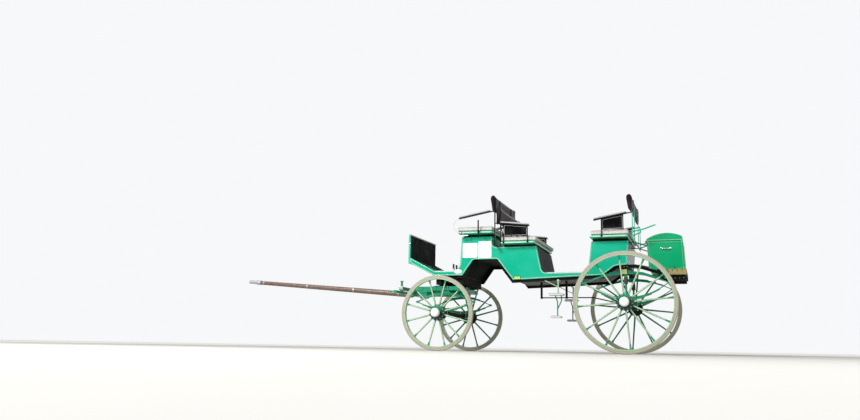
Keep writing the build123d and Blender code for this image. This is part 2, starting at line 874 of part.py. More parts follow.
# Boot: an open box, with the fixed halves of its lid's hinges along the top of its front wall
boot_profile = [
    (aft(boot_foot_x), platform_top_z),
    (aft(boot_back_foot_x), platform_top_z),
    (aft(boot_back_x), boot_rim_z),
    (aft(boot_x), boot_rim_z),
]
hinge_z = boot_rim_z + hinge_height
knuckle_half = hinge_knuckle_length / 2
with BuildPart() as boot_box:
    with BuildSketch(Plane.XZ):
        Polygon(*boot_profile, align=None)
    extrude(amount=half_boot, both=True)
    upright = [e for e in boot_box.edges() if abs(e.tangent_at(0.5).Z) > 0.9]
    fillet(upright, boot_corner)
    with BuildSketch(Plane.XZ):
        foot_z = platform_top_z + boot_wall
        Polygon(
            (aft(boot_foot_x + boot_wall), foot_z),
            (aft(boot_back_foot_x - boot_wall), foot_z),
            (aft(boot_back_x - boot_wall), boot_rim_z + 1),
            (aft(boot_x + boot_wall), boot_rim_z + 1),
            align=None,
        )
    extrude(amount=half_boot - boot_wall, both=True, mode=Mode.SUBTRACT)
    for side in sides.values():
        y = side * hinge_spread
        pin_half = knuckle_half + hinge_end_clearance + hinge_end_length
        rod((aft(hinge_x), y - pin_half, hinge_z), (aft(hinge_x), y + pin_half, hinge_z), hinge_pin_radius)
        for way in (-1, 1):
            inner = y + way * (knuckle_half + hinge_end_clearance)
            outer = y + way * pin_half
            rod((aft(hinge_x), inner, hinge_z), (aft(hinge_x), outer, hinge_z), hinge_knuckle_radius)
            block(
                (aft(hinge_x) - hinge_knuckle_radius, min(inner, outer), boot_rim_z - hinge_leaf_depth),
                (aft(boot_x + boot_wall / 2), max(inner, outer), boot_rim_z),
            )
            block(
                (aft(hinge_x) - hinge_knuckle_radius, min(inner, outer), boot_rim_z - hinge_leaf_lap),
                (aft(hinge_x) + hinge_knuckle_radius - hinge_leaf_relief, max(inner, outer), hinge_z),
            )
        stud_z = platform_top_z + stud_radius
        stud_foot = (aft(stud_x), side * (half_boot - boot_wall / 2), stud_z)
        rod(stud_foot, (aft(stud_x), side * (half_boot + stud_length), stud_z), stud_radius)
store(boot_box, "boot_box")

lid_foot_z = boot_rim_z + lid_gap
lid_front = aft(boot_x - lid_front_overlap)
lid_length = boot_back_x - boot_x
lid_crest = (
    aft(boot_x + lid_crest_share * lid_length),
    lid_foot_z + (lid_front_height + lid_back_height) / 2 + lid_crest_bow * lid_length,
)
with BuildPart() as boot_lid:
    with BuildSketch(Plane.XZ):
        with BuildLine():
            foot = Line((aft(boot_back_x), lid_foot_z), (lid_front, lid_foot_z))
            front = Line(foot @ 1, (lid_front, lid_foot_z + lid_front_height))
            back_top = (aft(boot_back_x - lid_back_inset), lid_foot_z + lid_back_height)
            crest = ThreePointArc(front @ 1, lid_crest, back_top)
            Line(crest @ 1, foot @ 0)
        make_face()
        fillet(vertices().sort_by_distance(back_top)[0], lid_corner)
    extrude(amount=half_boot + lid_overhang, both=True)
    offset(amount=-lid_wall, openings=boot_lid.faces().sort_by(Axis.Z)[0])
    for side in sides.values():
        y = side * hinge_spread
        ends = (y - knuckle_half, y + knuckle_half)
        rod((aft(hinge_x), ends[0], hinge_z), (aft(hinge_x), ends[1], hinge_z), hinge_knuckle_radius)
        block(
            (aft(hinge_x), ends[0], lid_foot_z + hinge_leaf_lap),
            (lid_front + lid_wall / 2, ends[1], hinge_z + hinge_knuckle_radius - hinge_leaf_relief),
        )
    for side in sides.values():
        with Locations(Plane(origin=(aft(hinge_x), side * hinge_spread, hinge_z), z_dir=(0, 1, 0))):
            Cylinder(hinge_pin_radius + hinge_clearance, 2 * hinge_knuckle_length, mode=Mode.SUBTRACT)
store(boot_lid, "boot_lid")

with BuildPart() as boot_ties:
    for side in sides.values():
        y = side * iron_spread
        rod((rear_front_face, y, tie_front_z), (aft(boot_x + boot_wall), y, tie_back_z), tie_radius)
    with BuildSketch(Plane.XZ):
        Polygon(*boot_profile, align=None)
    extrude(amount=half_boot, both=True, mode=Mode.SUBTRACT)
    split(bisect_by=Plane.YZ.offset(rear_back_face), keep=Keep.TOP)
store(boot_ties, "boot_ties")

# Turntable: an upper ring and bolsters on the body, a lower ring and kingpin on the fore-carriage
centre = aft(0)
upper_ring_top_z = turntable_z + turntable_ring_depth
with BuildPart() as turntable_upper:
    with Locations((centre, 0, turntable_z + turntable_ring_depth / 2)):
        Cylinder(turntable_radius, turntable_ring_depth)
        Cylinder(turntable_radius - turntable_band, turntable_ring_depth, mode=Mode.SUBTRACT)
    for station in bolster_x:
        block(
            (aft(station) - bolster_width / 2, -bearer_half_length, upper_ring_top_z),
            (aft(station) + bolster_width / 2, bearer_half_length, front_under_z),
        )
    block(
        (aft(bolster_x[0]), -kingpin_boss / 2, upper_ring_top_z),
        (aft(bolster_x[1]), kingpin_boss / 2, upper_ring_top_z + frame_depth),
    )
    rod((centre, 0, turntable_z), (centre, 0, upper_ring_top_z + frame_depth), kingpin_boss / 2)
    with Locations((centre, 0, turntable_z)):
        Cylinder(kingpin_radius + kingpin_clearance, 4 * frame_depth, mode=Mode.SUBTRACT)
store(turntable_upper, "turntable_upper")

with BuildPart() as turntable_lower:
    lower_ring_top_z = turntable_z - turntable_gap
    with Locations((centre, 0, (frame_top_z + lower_ring_top_z) / 2)):
        Cylinder(turntable_radius, lower_ring_top_z - frame_top_z)
        Cylinder(turntable_radius - turntable_band, lower_ring_top_z - frame_top_z, mode=Mode.SUBTRACT)
    rod((centre, 0, frame_top_z), (centre, 0, lower_ring_top_z), kingpin_boss / 2)
    rod((centre, 0, frame_top_z), (centre, 0, turntable_z + kingpin_lift), kingpin_radius)
store(turntable_lower, "turntable_lower")

futchell_foot_z = frame_bottom_z - frame_depth
with BuildPart() as fore_frame:
    for station in frame_beam_x:
        block(
            (aft(station) - frame_beam_width / 2, -frame_half_width, frame_bottom_z),
            (aft(station) + frame_beam_width / 2, frame_half_width, frame_top_z),
        )
    block(
        (aft(frame_beam_x[1]), -frame_spine_width / 2, frame_bottom_z),
        (aft(frame_beam_x[2]), frame_spine_width / 2, frame_top_z),
    )
    for side in sides.values():
        half = frame_side_width / 2
        ends = sorted((side * (front_spring_y - half), side * (front_spring_y + half)))
        block((aft(frame_plate_x[0]), ends[0], frame_bottom_z), (aft(frame_beam_x[2]), ends[1], frame_top_z))
        block(
            (aft(frame_plate_x[0]), ends[0], frame_bottom_z - frame_plate_drop),
            (aft(frame_plate_x[1]), ends[1], frame_bottom_z),
        )
        half = futchell_width / 2
        ends = sorted((side * (futchell_y - half), side * (futchell_y + half)))
        block(
            (aft(splinter_x - splinter_width / 2), ends[0], futchell_foot_z),
            (aft(futchell_back_x), ends[1], frame_bottom_z),
        )
store(fore_frame, "fore_frame")

pin_foot_z = frame_bottom_z - swingletree_gap - swingletree_depth - swingletree_gap
with BuildPart() as splinter_bar:
    block(
        (aft(splinter_x) - splinter_width / 2, -splinter_half_length, frame_bottom_z),
        (aft(splinter_x) + splinter_width / 2, splinter_half_length, frame_bottom_z + splinter_depth),
    )
    fillet(splinter_bar.edges().filter_by(Axis.Y), splinter_round)
    for side in sides.values():
        y = side * swingletree_y
        half = swingletree_bracket_width / 2
        block(
            (aft(swingletree_x) - half, y - half, frame_bottom_z),
            (aft(splinter_x), y + half, frame_bottom_z + swingletree_bracket_depth),
        )
        pin_ends = ((aft(swingletree_x), y, pin_foot_z), (aft(swingletree_x), y, frame_bottom_z))
        rod(*pin_ends, swingletree_pin_radius)
        rod(
            (aft(swingletree_x), y, pin_foot_z - pin_head_height),
            (aft(swingletree_x), y, pin_foot_z),
            pin_head_radius,
        )
        roller_foot = (aft(splinter_x), side * roller_y, frame_bottom_z + splinter_depth - 1)
        roller_top_z = frame_bottom_z + splinter_depth + roller_height
        roller_top = (aft(splinter_x), side * roller_y, roller_top_z)
        rod(roller_foot, roller_top, roller_radius)
        head_top = (aft(splinter_x), side * roller_y, roller_top_z + roller_head_height)
        rod(roller_top, head_top, roller_head_radius)
store(splinter_bar, "splinter_bar")

for name, side in sides.items():
    with BuildPart() as swingletree:
        y = side * swingletree_y
        x = aft(swingletree_x)
        foot_z = pin_foot_z + swingletree_gap
        block(
            (x - swingletree_width / 2, y - swingletree_half_length, foot_z),
            (x + swingletree_width / 2, y + swingletree_half_length, foot_z + swingletree_depth),
        )
        fillet(swingletree.edges().filter_by(Axis.Y), swingletree_round)
        for way in (-1, 1):
            hook_y = y + way * (swingletree_half_length - hook_radius * 2)
            hook_z = foot_z + swingletree_depth / 2
            hook_x = x - swingletree_width / 2
            rod((hook_x + 5, hook_y, hook_z), (hook_x - hook_length, hook_y, hook_z), hook_radius)
            rod(
                (hook_x - hook_length, hook_y, hook_z),
                (hook_x - hook_length - hook_head, hook_y, hook_z),
                hook_head_radius,
            )
        with Locations((x, y, foot_z + swingletree_depth / 2)):
            bore = swingletree_pin_radius + swingletree_pin_clearance
            Cylinder(bore, swingletree_depth * 2, mode=Mode.SUBTRACT)
    store(swingletree, f"swingletree_{name}")

# Pole: a square butt between the futchells, then a tapered round shaft that rises to the head
pole_z = (futchell_foot_z + frame_bottom_z) / 2
bend = Vector(aft(pole_bend_x), 0, pole_z)
tip = Vector(aft(-pole_reach), 0, pole_tip_z)
heading = (tip - bend).normalized()
tip = tip + Vector(pole_head_radius * heading.Z, 0, 0)
shaft_end = tip - heading * pole_head_length
with BuildPart() as pole:
    butt_half = futchell_y - futchell_width / 2
    block((bend.X, -butt_half, futchell_foot_z), (aft(pole_butt_x), butt_half, frame_bottom_z))
    rod(bend, shaft_end, pole_radius, pole_tip_radius)
    with Locations(bend):
        Sphere(pole_radius)
store(pole, "pole")

with BuildPart() as pole_head:
    rod(shaft_end, tip, pole_head_radius)
    rod(shaft_end - heading * pole_collar_length, shaft_end + heading * 8, pole_collar_radius)
    add(pole.part, mode=Mode.SUBTRACT)
store(pole_head, "pole_head")

# Springs and axles
front_seat_z = front_spring_eye_z - front_spring_fall - stack_reach - spring_pad_depth
rear_seat_z = rear_spring_eye_z - rear_spring_fall - stack_reach - spring_pad_depth
with BuildPart() as front_springs:
    for side in sides.values():
        with BuildSketch(Plane.XZ.offset(-side * front_spring_y)):
            elliptic_spring(
                centre, front_spring_eye_z, front_spring_half_length,
                front_spring_rise, front_spring_fall, frame_bottom_z,
            )
        extrude(amount=leaf_width / 2, both=True)
store(front_springs, "front_springs")

with BuildPart() as rear_springs:
    for side in sides.values():
        with BuildSketch(Plane.XZ.offset(-side * rear_spring_y)):
            elliptic_spring(
                rear_axle_x, rear_spring_eye_z, rear_spring_half_length,
                rear_spring_rise, rear_spring_fall, hanger_bottom_z,
            )
        extrude(amount=leaf_width / 2, both=True)
        y = side * rear_spring_y
        cup_foot = (rear_axle_x, y, buffer_cup_foot_z)
        rod(cup_foot, (rear_axle_x, y, rear_spring_eye_z + rear_spring_rise), buffer_cup_radius)
        rod((rear_axle_x, y, rear_spring_eye_z - rear_spring_fall), cup_foot, buffer_rod_radius)
store(rear_springs, "rear_springs")

with BuildPart() as front_axle:
    axle(centre, front_radius, front_track, front_spring_y, front_seat_z)
store(front_axle, "front_axle")

with BuildPart() as rear_axle:
    axle(rear_axle_x, rear_radius, rear_track, rear_spring_y, rear_seat_z)
store(rear_axle, "rear_axle")

# Brake rod: from a hanger below the floor, through a second one, to the rear axle
with BuildPart() as brake_rod:
    for station in brake_hanger_x:
        half = brake_hanger_width / 2
        with BuildSketch(Plane.XZ):
            Polygon(
                (aft(station - half), brake_rod_z - half),
                (aft(station + half), brake_rod_z - half),
                (aft(station + half), rear_under_at(station + half)),
                (aft(station - half), rear_under_at(station - half)),
                align=None,
            )
        extrude(amount=brake_hanger_thickness / 2, both=True)
    start = (aft(brake_hanger_x[0]), 0, brake_rod_z)
    bend = (aft(brake_rod_bend_x), 0, brake_rod_z)
    rod(start, bend, brake_rod_radius)
    rod(bend, (rear_axle_x, 0, rear_radius), brake_rod_radius)
    with Locations(bend):
        Sphere(brake_rod_radius)
    with Locations(Plane(origin=(rear_axle_x, 0, rear_radius), z_dir=(0, 1, 0))):
        Cylinder(axle_tube_radius, 4 * axle_tube_radius, mode=Mode.SUBTRACT)
store(brake_rod, "brake_rod")

# Entrance steps: a hanger on each side with two treads, the lower one on a fork under the upper
# one, stayed back to the chassis rail
step_rail_z = rear_under_at(step_hanger_x) - rail_depth
treads = (
    (upper_tread_z, upper_tread_length, upper_tread_depth, step_hanger_y + upper_tread_setout),
    (lower_tread_z, lower_tread_length, lower_tread_depth, step_hanger_y + lower_tread_setout),
)
with BuildPart() as steps:
    for side in sides.values():
        half = step_bar_thickness / 2
        hanger = [side * (step_hanger_y - half), side * (step_hanger_y + half)]
        hanger_x = aft(step_hanger_x)
        low, high = hanger_x - step_bar_width / 2, hanger_x + step_bar_width / 2
        hanger_z = step_rail_z + 2
        block((low, min(hanger), upper_tread_z - tread_thickness / 2), (high, max(hanger), hanger_z))
        knob = [(hanger_x, y, hanger_z - step_knob_radius) for y in (0, side * step_knob_height)]
        knob = [(x, y + hanger[1], z) for x, y, z in knob]
        rod(*knob, step_knob_radius)
        arm = (side * (rail_y - rail_width / 2), hanger[1])
        block((low, min(arm), hanger_z - step_bar_thickness), (high, max(arm), hanger_z))
        for top_z, length, depth, y in treads:
            block(
                (aft(step_x) - length / 2, side * y - depth / 2, top_z - tread_thickness),
                (aft(step_x) + length / 2, side * y + depth / 2, top_z),
            )
        for fork in step_forks:
            path = [(aft(station), side * step_hanger_y, z) for station, z in fork]
            for start, end in zip(path, path[1:]):
                rod(start, end, step_fork_radius)
            with Locations(path[1]):
                Sphere(step_fork_radius)
        rod(
            (hanger_x, side * step_hanger_y, step_stay_z),
            (aft(step_stay_x), side * rail_y, rear_under_at(step_stay_x) - rail_depth + 20),
            step_stay_radius,
        )
    for side in sides.values():
        with BuildSketch(Plane.XZ.offset(-side * rail_y)):
            band(rail_top, shifted(rail_top, -rail_depth))
        extrude(amount=rail_width / 2, both=True, mode=Mode.SUBTRACT)
store(steps, "steps")

# Wheels: X, radius, track and the turn of the first spoke
wheels = {
    "front": (centre, front_radius, front_track, front_spoke_turn),
    "rear": (rear_axle_x, rear_radius, rear_track, rear_spoke_turn),
}
for end, (x, radius, track, turn) in wheels.items():
    felloe_outer = radius - tyre_depth
    felloe_inner = felloe_outer - felloe_depth
    spoke_start = hub_radius - 6
    spoke_length = felloe_inner + 4 - spoke_start
    lean = degrees(atan2(spoke_dish, spoke_length))
    for name, side in sides.items():
        face = Plane(origin=(x, side * track / 2, radius), x_dir=(1, 0, 0), z_dir=(0, side, 0))
        with BuildPart(face) as wheel:
            Cylinder(felloe_outer, felloe_width)
            Cylinder(felloe_inner, felloe_width, mode=Mode.SUBTRACT)
            with Locations((0, 0, (hub_outer_length - hub_inner_length) / 2)):
                Cylinder(hub_radius, hub_outer_length + hub_inner_length)
            for way in (-1, 1):
                with Locations((0, 0, way * (spoke_root_radius + hub_flange_thickness / 2) - spoke_dish)):
                    Cylinder(hub_flange_radius, hub_flange_thickness)
            with PolarLocations(0, spoke_count, start_angle=turn):
                with Locations(Location((spoke_start, 0, -spoke_dish), (0, 90 - lean, 0))):
                    seat = (Align.CENTER, Align.CENTER, Align.MIN)
                    Cone(spoke_root_radius, spoke_tip_radius, spoke_length, align=seat)
            Cylinder(axle_arm_radius + axle_arm_clearance, 4 * hub_inner_length, mode=Mode.SUBTRACT)
        store(wheel, f"wheel_{end}_{name}")

        with BuildPart(face) as tyre:
            Cylinder(radius, tyre_width)
            Cylinder(felloe_outer, tyre_width, mode=Mode.SUBTRACT)
            rims = tyre.edges().filter_by(GeomType.CIRCLE).sort_by(SortBy.RADIUS)
            fillet(rims[-2:], tyre_round)
        store(tyre, f"tyre_{end}_{name}")

        with BuildPart(face) as hub_cap:
            with Locations((0, 0, hub_outer_length + cap_length / 2)):
                Cylinder(cap_radius, cap_length)
            outward = hub_cap.faces().sort_by(Axis((0, 0, 0), (0, side, 0)))[-1]
            fillet(outward.edges(), cap_round)
        store(hub_cap, f"hub_cap_{end}_{name}")
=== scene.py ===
from math import cos, pi, radians, sin

import bmesh
import bpy
import numpy as np
from mathutils import Matrix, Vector
from mathutils.bvhtree import BVHTree


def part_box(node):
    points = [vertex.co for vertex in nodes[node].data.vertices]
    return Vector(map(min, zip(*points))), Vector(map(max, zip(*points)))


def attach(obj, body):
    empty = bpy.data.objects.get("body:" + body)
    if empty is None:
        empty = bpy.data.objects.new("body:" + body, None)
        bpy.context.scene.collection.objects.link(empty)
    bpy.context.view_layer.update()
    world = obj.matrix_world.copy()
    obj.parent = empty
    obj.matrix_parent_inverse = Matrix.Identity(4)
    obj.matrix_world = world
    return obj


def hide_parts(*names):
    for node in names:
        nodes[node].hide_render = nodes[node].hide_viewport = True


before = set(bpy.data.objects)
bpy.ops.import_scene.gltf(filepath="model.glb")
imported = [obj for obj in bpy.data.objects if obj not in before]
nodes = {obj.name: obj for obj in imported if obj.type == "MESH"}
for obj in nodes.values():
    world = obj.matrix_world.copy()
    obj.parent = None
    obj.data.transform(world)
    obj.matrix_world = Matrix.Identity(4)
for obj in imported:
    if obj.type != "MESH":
        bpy.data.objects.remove(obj)        # metres: +Z up, the pole points to -X, -Y is the near (left) side
scene = bpy.context.scene
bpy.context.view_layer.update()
print("frame loaded:", len(nodes), "nodes")

# Places that the pieces are set out from
hubs = {}
for end in ("front", "rear"):
    for side in ("left", "right"):
        low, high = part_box(f"tyre_{end}_{side}")
        hubs[end, side] = [(a + b) / 2 for a, b in zip(low, high)]
axleX = hubs["front", "left"][0]
sides = {"left": -1, "right": 1}


def aft(distance):        # X of a place this far behind the front axle
    return axleX + distance


def shade(red, green, blue):        # a screen colour, 0 to 255, as linear light
    value = np.array([red, green, blue]) / 255
    value = np.where(value <= 0.04045, value / 12.92, ((value + 0.055) / 1.055) ** 2.4)
    return (*value.tolist(), 1)


# Camera, lights and stage
camera = {"place": (aft(3.0131), -9.4901, 0.05), "yaw": -0.3423, "pitch": 0.1779, "roll": 0.0173,
          "lens": 31.779, "sensor": 36}
look = bpy.data.cameras.new("camera")
look.sensor_width = camera["sensor"]
look.lens = camera["lens"]
view = bpy.data.objects.new("camera", look)
yaw, pitch, roll = camera["yaw"], camera["pitch"], camera["roll"]
ahead = np.array([sin(yaw) * cos(pitch), cos(yaw) * cos(pitch), sin(pitch)])
level = np.array([cos(yaw), -sin(yaw), 0])
over = np.cross(level, ahead)
across = level * cos(roll) + over * sin(roll)
over = over * cos(roll) - level * sin(roll)
turn = Matrix([list(row) for row in np.array([across, over, -ahead]).T]).to_4x4()
view.matrix_world = Matrix.Translation(camera["place"]) @ turn
scene.collection.objects.link(view)
scene.camera = view
scene.view_settings.view_transform = "Standard"

stage = {
    "floorColour": shade(226, 224, 218), "floorReach": 60,
    "backColour": (0.93, 0.94, 0.95, 1), "dayLevel": 0.3,
    "farGlow": (4, 14, 0.5),        # distances between which the floor starts to glow, and its level
    "lamps": {        # place, what it points at, size and power
        "key": ((-3.0, -8.0, 6.5), (0.6, 0, 0.9), 3, 960),
        "fill": ((7.5, -6, 3.5), (0.6, 0, 0.9), 5, 160),
        "back": ((1, 8, 6), (0.6, 0, 0.9), 5, 120),
    },
}
for name, (place, target, size, power) in stage["lamps"].items():
    lamp = bpy.data.lights.new(name, "AREA")
    lamp.size = size
    lamp.energy = power
    holder = bpy.data.objects.new(name, lamp)
    aim = np.array(place) - np.array(target)
    aim = aim / np.linalg.norm(aim)
    flat = np.cross((0, 0, 1), aim)
    flat = flat / np.linalg.norm(flat)
    turn = Matrix([list(row) for row in np.array([flat, np.cross(aim, flat), aim]).T]).to_4x4()
    holder.matrix_world = Matrix.Translation(place) @ turn
    scene.collection.objects.link(holder)


class Wire:        # a shader socket that takes part in Python expressions
    def __init__(self, finish, socket):
        self.finish, self.socket = finish, socket

    def work(self, operation, *values):
        return self.finish.node("Math", {"operation": operation}, dict(enumerate(values)))

    def __add__(self, other):
        return self.work("ADD", self, other)

    def __sub__(self, other):
        return self.work("SUBTRACT", self, other)

    def __rsub__(self, other):
        return self.work("SUBTRACT", other, self)

    def __mul__(self, other):
        return self.work("MULTIPLY", self, other)

    def __truediv__(self, other):
        return self.work("DIVIDE", self, other)

    def __pow__(self, other):
        return self.work("POWER", self, other)

    def between(self, low, high):        # 0 at low, 1 at high, smooth in between
        settings = {"interpolation_type": "SMOOTHSTEP"}
        return self.finish.node("MapRange", settings, {0: self, 1: low, 2: high, 3: 0.0, 4: 1.0})


class Finish:        # a material, built from nodes
    def __init__(self, name, fixed={}):
        self.material = bpy.data.materials.new(name)
        self.material.use_nodes = True
        self.tree = self.material.node_tree
        self.shader = self.tree.nodes["Principled BSDF"]
        for socket, value in fixed.items():
            self.shader.inputs[socket].default_value = value
        self.place = self.node("TexCoord", {}, {}, "Object")

    def node(self, kind, settings, sockets, outlet=0):        # any node, set up and joined
        made = self.tree.nodes.new("ShaderNode" + kind)
        for name, value in settings.items():
            setattr(made, name, value)
        for name, value in sockets.items():
            if isinstance(value, Wire):
                self.tree.links.new(value.socket, made.inputs[name])
            else:
                made.inputs[name].default_value = value
        return Wire(self, made.outputs[outlet])

    def feed(self, tone, rough, relief=None):        # joins colour, roughness and bump to the shader
        for name, wire in (("Base Color", tone), ("Roughness", rough), ("Normal", relief)):
            if wire:
                self.tree.links.new(wire.socket, self.shader.inputs[name])
        return self.material

    def axis(self, name):
        return self.node("SeparateXYZ", {}, {0: self.place}, name)

    def scaled(self, x, y, z):        # the object's coordinates, stretched
        return self.node("Mapping", {}, {"Vector": self.place, "Scale": (x, y, z)})

    def noise(self, scale, detail=3.0, rough=0.55, place=None):
        sockets = {"Vector": place or self.place, "Scale": scale, "Detail": detail, "Roughness": rough}
        return self.node("TexNoise", {}, sockets)

    def cells(self, scale):
        return self.node("TexVoronoi", {}, {"Vector": self.place, "Scale": scale})

    def wave(self, value):        # its sine
        return self.node("Math", {"operation": "SINE"}, {0: value})

    def size(self, value):        # without its sign
        return self.node("Math", {"operation": "ABSOLUTE"}, {0: value})

    def mix(self, first, second, factor):        # of two colours
        return self.node("Mix", {"data_type": "RGBA"}, {0: factor, 6: first, 7: second}, 2)

    def bump(self, height, depth, strength=1.0):
        return self.node("Bump", {}, {"Strength": strength, "Distance": depth, "Height": height})


def darker(colour, share):
    return (*[value * share for value in colour[:3]], 1)


def paler(colour, share):
    return (*[value + (1 - value) * share for value in colour[:3]], 1)


dustColour = shade(176, 166, 142)


def paint(name, colour, rough=0.3, dust=0.06, coat=0.1, top=1.0, mottle=0.05, special=None, gloss=0.08):
    # Brushed enamel: faint mottle, fine orange peel, and road dust that thins out with height.
    # special, if given, makes another tone from the finish and the paint's tone
    finish = Finish(name, {"Coat Weight": coat, "Coat Roughness": 0.06, "Specular IOR Level": gloss})
    patches = finish.noise(2.6, 4.0)
    specks = finish.noise(46, 5.0, 0.65)
    dark, pale = darker(colour, 1 - mottle * 2), paler(colour, mottle / 3)
    tone = finish.mix(dark, pale, patches.between(0.25, 0.75))
    if special:
        tone = special(finish, tone)
    low = 1 - finish.axis("Z").between(0.15, top)
    film = low * dust * 3 * specks.between(0.3, 0.8) + patches.between(0.6, 0.85) * dust * 0.3
    return finish.feed(
        finish.mix(tone, dustColour, film), film * 0.8 + (specks * 0.1 + (rough - 0.05)),
        finish.bump(finish.noise(190, 2.0) * 0.6 + finish.noise(28, 2.0), 0.0004, 0.3))


def metal(name, colour, rough, grain=(4, 4, 400), stain=0.15):
    # Worked metal: fine lines along the grain, with duller stains.
    finish = Finish(name, {"Metallic": 1.0})
    lines = finish.noise(1.0, 2.0, 0.5, finish.scaled(*grain))
    stains = finish.noise(17, 5.0, 0.6).between(0.45, 0.8)
    tone = finish.mix(paler(colour, 0.15), darker(colour, 0.72), lines)
    return finish.feed(
        finish.mix(tone, darker(dustColour, 0.6), stains * stain),
        lines * 0.14 + stains * 0.25 + (rough - 0.07), finish.bump(lines, 0.0002, 0.3))


def hide(name, colour, rough=0.5, cell=420, crease=0.5, gloss=0.025):
    # Leather or vinyl: pebbled grain, long soft creases and rubbed patches.
    finish = Finish(name, {"Specular IOR Level": gloss})
    pebbles = finish.cells(cell)
    folds = finish.noise(9, 3.0, 0.5, finish.scaled(1, 0.35, 1))
    rubbed = finish.noise(6.5, 5.0, 0.6).between(0.4, 0.75)
    tone = finish.mix(darker(colour, 0.65), colour, pebbles.between(0.0, 0.45))
    return finish.feed(
        finish.mix(tone, paler(colour, 0.035), rubbed * 0.6),
        pebbles * 0.1 + rubbed * -0.08 + rough,
        finish.bump(pebbles * 0.12 + folds * crease, 0.003, 0.35))


def weave(name, colour, pitch=0.0034, soil=0.25):
    # Woven cloth: two crossed sets of threads on coordinates that also run over the edges.
    finish = Finish(name, {"Sheen Weight": 0.25, "Sheen Roughness": 0.5})
    first = (finish.axis("X") + finish.axis("Z")) * (2 * pi / pitch)
    second = (finish.axis("Y") + finish.axis("Z")) * (2 * pi / pitch)
    threads = finish.wave(first) * finish.wave(second) * 0.5 + 0.5
    slubs = finish.noise(90, 4.0, 0.7)
    worn = finish.noise(5, 5.0, 0.6).between(0.45, 0.8)
    tone = finish.mix(darker(colour, 0.7), paler(colour, 0.12), threads * 0.6 + slubs * 0.4)
    return finish.feed(
        finish.mix(tone, darker(dustColour, 0.75), worn * soil),
        threads * -0.08 + 0.88, finish.bump(threads + slubs * 0.8, 0.0007, 0.6))


def pile(name, colour, scale=260):
    # Carpet: dense tufts, trodden darker and dustier in patches.
    finish = Finish(name, {"Sheen Weight": 0.2})
    tufts = finish.cells(scale) * 0.7 + finish.noise(scale * 2, 2.0) * 0.4
    trodden = finish.noise(8, 5.0, 0.6).between(0.42, 0.72)
    tone = finish.mix(darker(colour, 0.55), paler(colour, 0.06), tufts)
    return finish.feed(
        finish.mix(tone, darker(dustColour, 0.5), trodden * 0.35),
        tufts * 0.1 + 0.82, finish.bump(tufts, 0.0016, 0.7))


def timber(name, colour, along, rough, coat, wear, special=None):
    # Planed wood: growth rings drawn out along the board, pores, and greyed wear.
    finish = Finish(name, {"Coat Weight": coat, "Coat Roughness": 0.2})
    place = finish.scaled(*along)
    rings = finish.noise(3.0, 6.0, 0.6, place)
    bands = finish.wave(rings * 46) * 0.5 + 0.5
    pores = finish.noise(30, 3.0, 0.7, place).between(0.35, 0.7)
    greyed = finish.noise(4, 5.0, 0.6).between(0.45, 0.8)
    tone = finish.mix(darker(colour, 0.55), paler(colour, 0.12), bands * 0.6 + pores * 0.4)
    tone = finish.mix(tone, shade(150, 142, 124), greyed * wear)
    return finish.feed(
        special(finish, tone) if special else tone,
        pores * -0.12 + greyed * 0.15 + rough, finish.bump(bands * 0.5 + pores, 0.0006, 0.5))


def rubber(name, colour, dust, scale=70):
    # Rubber: fine pitted skin under a film of dust.
    finish = Finish(name)
    pits = finish.noise(scale * 5, 3.0, 0.7)
    film = finish.noise(scale / 5, 6.0, 0.65).between(0.3, 0.75)
    tone = finish.mix(darker(colour, 0.7), paler(colour, 0.06), pits)
    return finish.feed(
        finish.mix(tone, dustColour, film * dust), film * 0.15 + 0.68,
        finish.bump(pits + finish.noise(scale, 3.0), 0.0008, 0.6))


def enamel(name, colour, rough=0.25):
    # Stoved enamel: nearly even, with faint fingerprints and a rain-washed film.
    finish = Finish(name, {"Coat Weight": 0.4, "Coat Roughness": 0.1})
    film = finish.noise(9, 5.0, 0.6, finish.scaled(1, 1, 0.3)).between(0.4, 0.85)
    return finish.feed(
        finish.mix(colour, darker(dustColour, 1.15), film * 0.16), film * 0.2 + rough,
        finish.bump(finish.noise(120, 2.0), 0.0003, 0.3))


def lens(name, colour, pitch=0.004):
    # Reflector plastic: small square prisms below a smooth face.
    finish = Finish(name, {"Coat Weight": 1.0, "Coat Roughness": 0.03})
    rows = finish.wave((finish.axis("X") + finish.axis("Y")) * (2 * pi / pitch))
    prisms = rows * finish.wave(finish.axis("Z") * (2 * pi / pitch)) * 0.5 + 0.5
    return finish.feed(
        finish.mix(darker(colour, 0.7), paler(colour, 0.25), prisms), prisms * 0.1 + 0.2,
        finish.bump(prisms, 0.0008, 0.5))


colours = {
    "green": shade(0, 178, 142), "boot": shade(0, 162, 106), "gear": shade(6, 146, 108),
    "mint": shade(168, 226, 196), "line": shade(150, 210, 178), "stripe": shade(168, 196, 158),
    "felloe": shade(166, 186, 156), "hubShade": shade(4, 50, 40), "black": shade(7, 8, 9),
    "under": shade(4, 4, 5), "leather": shade(34, 24, 28), "grey": shade(176, 172, 176),
    "cushion": shade(216, 212, 208), "vinyl": shade(20, 19, 21), "lining": shade(16, 17, 16),
    "carpet": shade(24, 25, 52), "tan": shade(206, 168, 116), "platform": shade(158, 146, 62),
    "pole": shade(104, 66, 40), "steel": shade(205, 206, 208), "chrome": shade(232, 234, 236),
    "tyre": shade(178, 173, 154), "white": shade(246, 246, 244),
}

# Where a finish changes its tone: how far behind the front axle, above a cushion, ahead of the rear
# irons' back, over the ground for the steps, and, where painted shade starts, in from the platform's faces
# and from the box's back
toneEdges = {"bowedStays": 0.260, "overCushion": 0.1, "rearBars": 0.0085, "upperTread": 0.663,
             "hanger": 0.684, "lowerTread": (0.4015, 0.422), "boards": 0.025, "boxBack": 0.018}


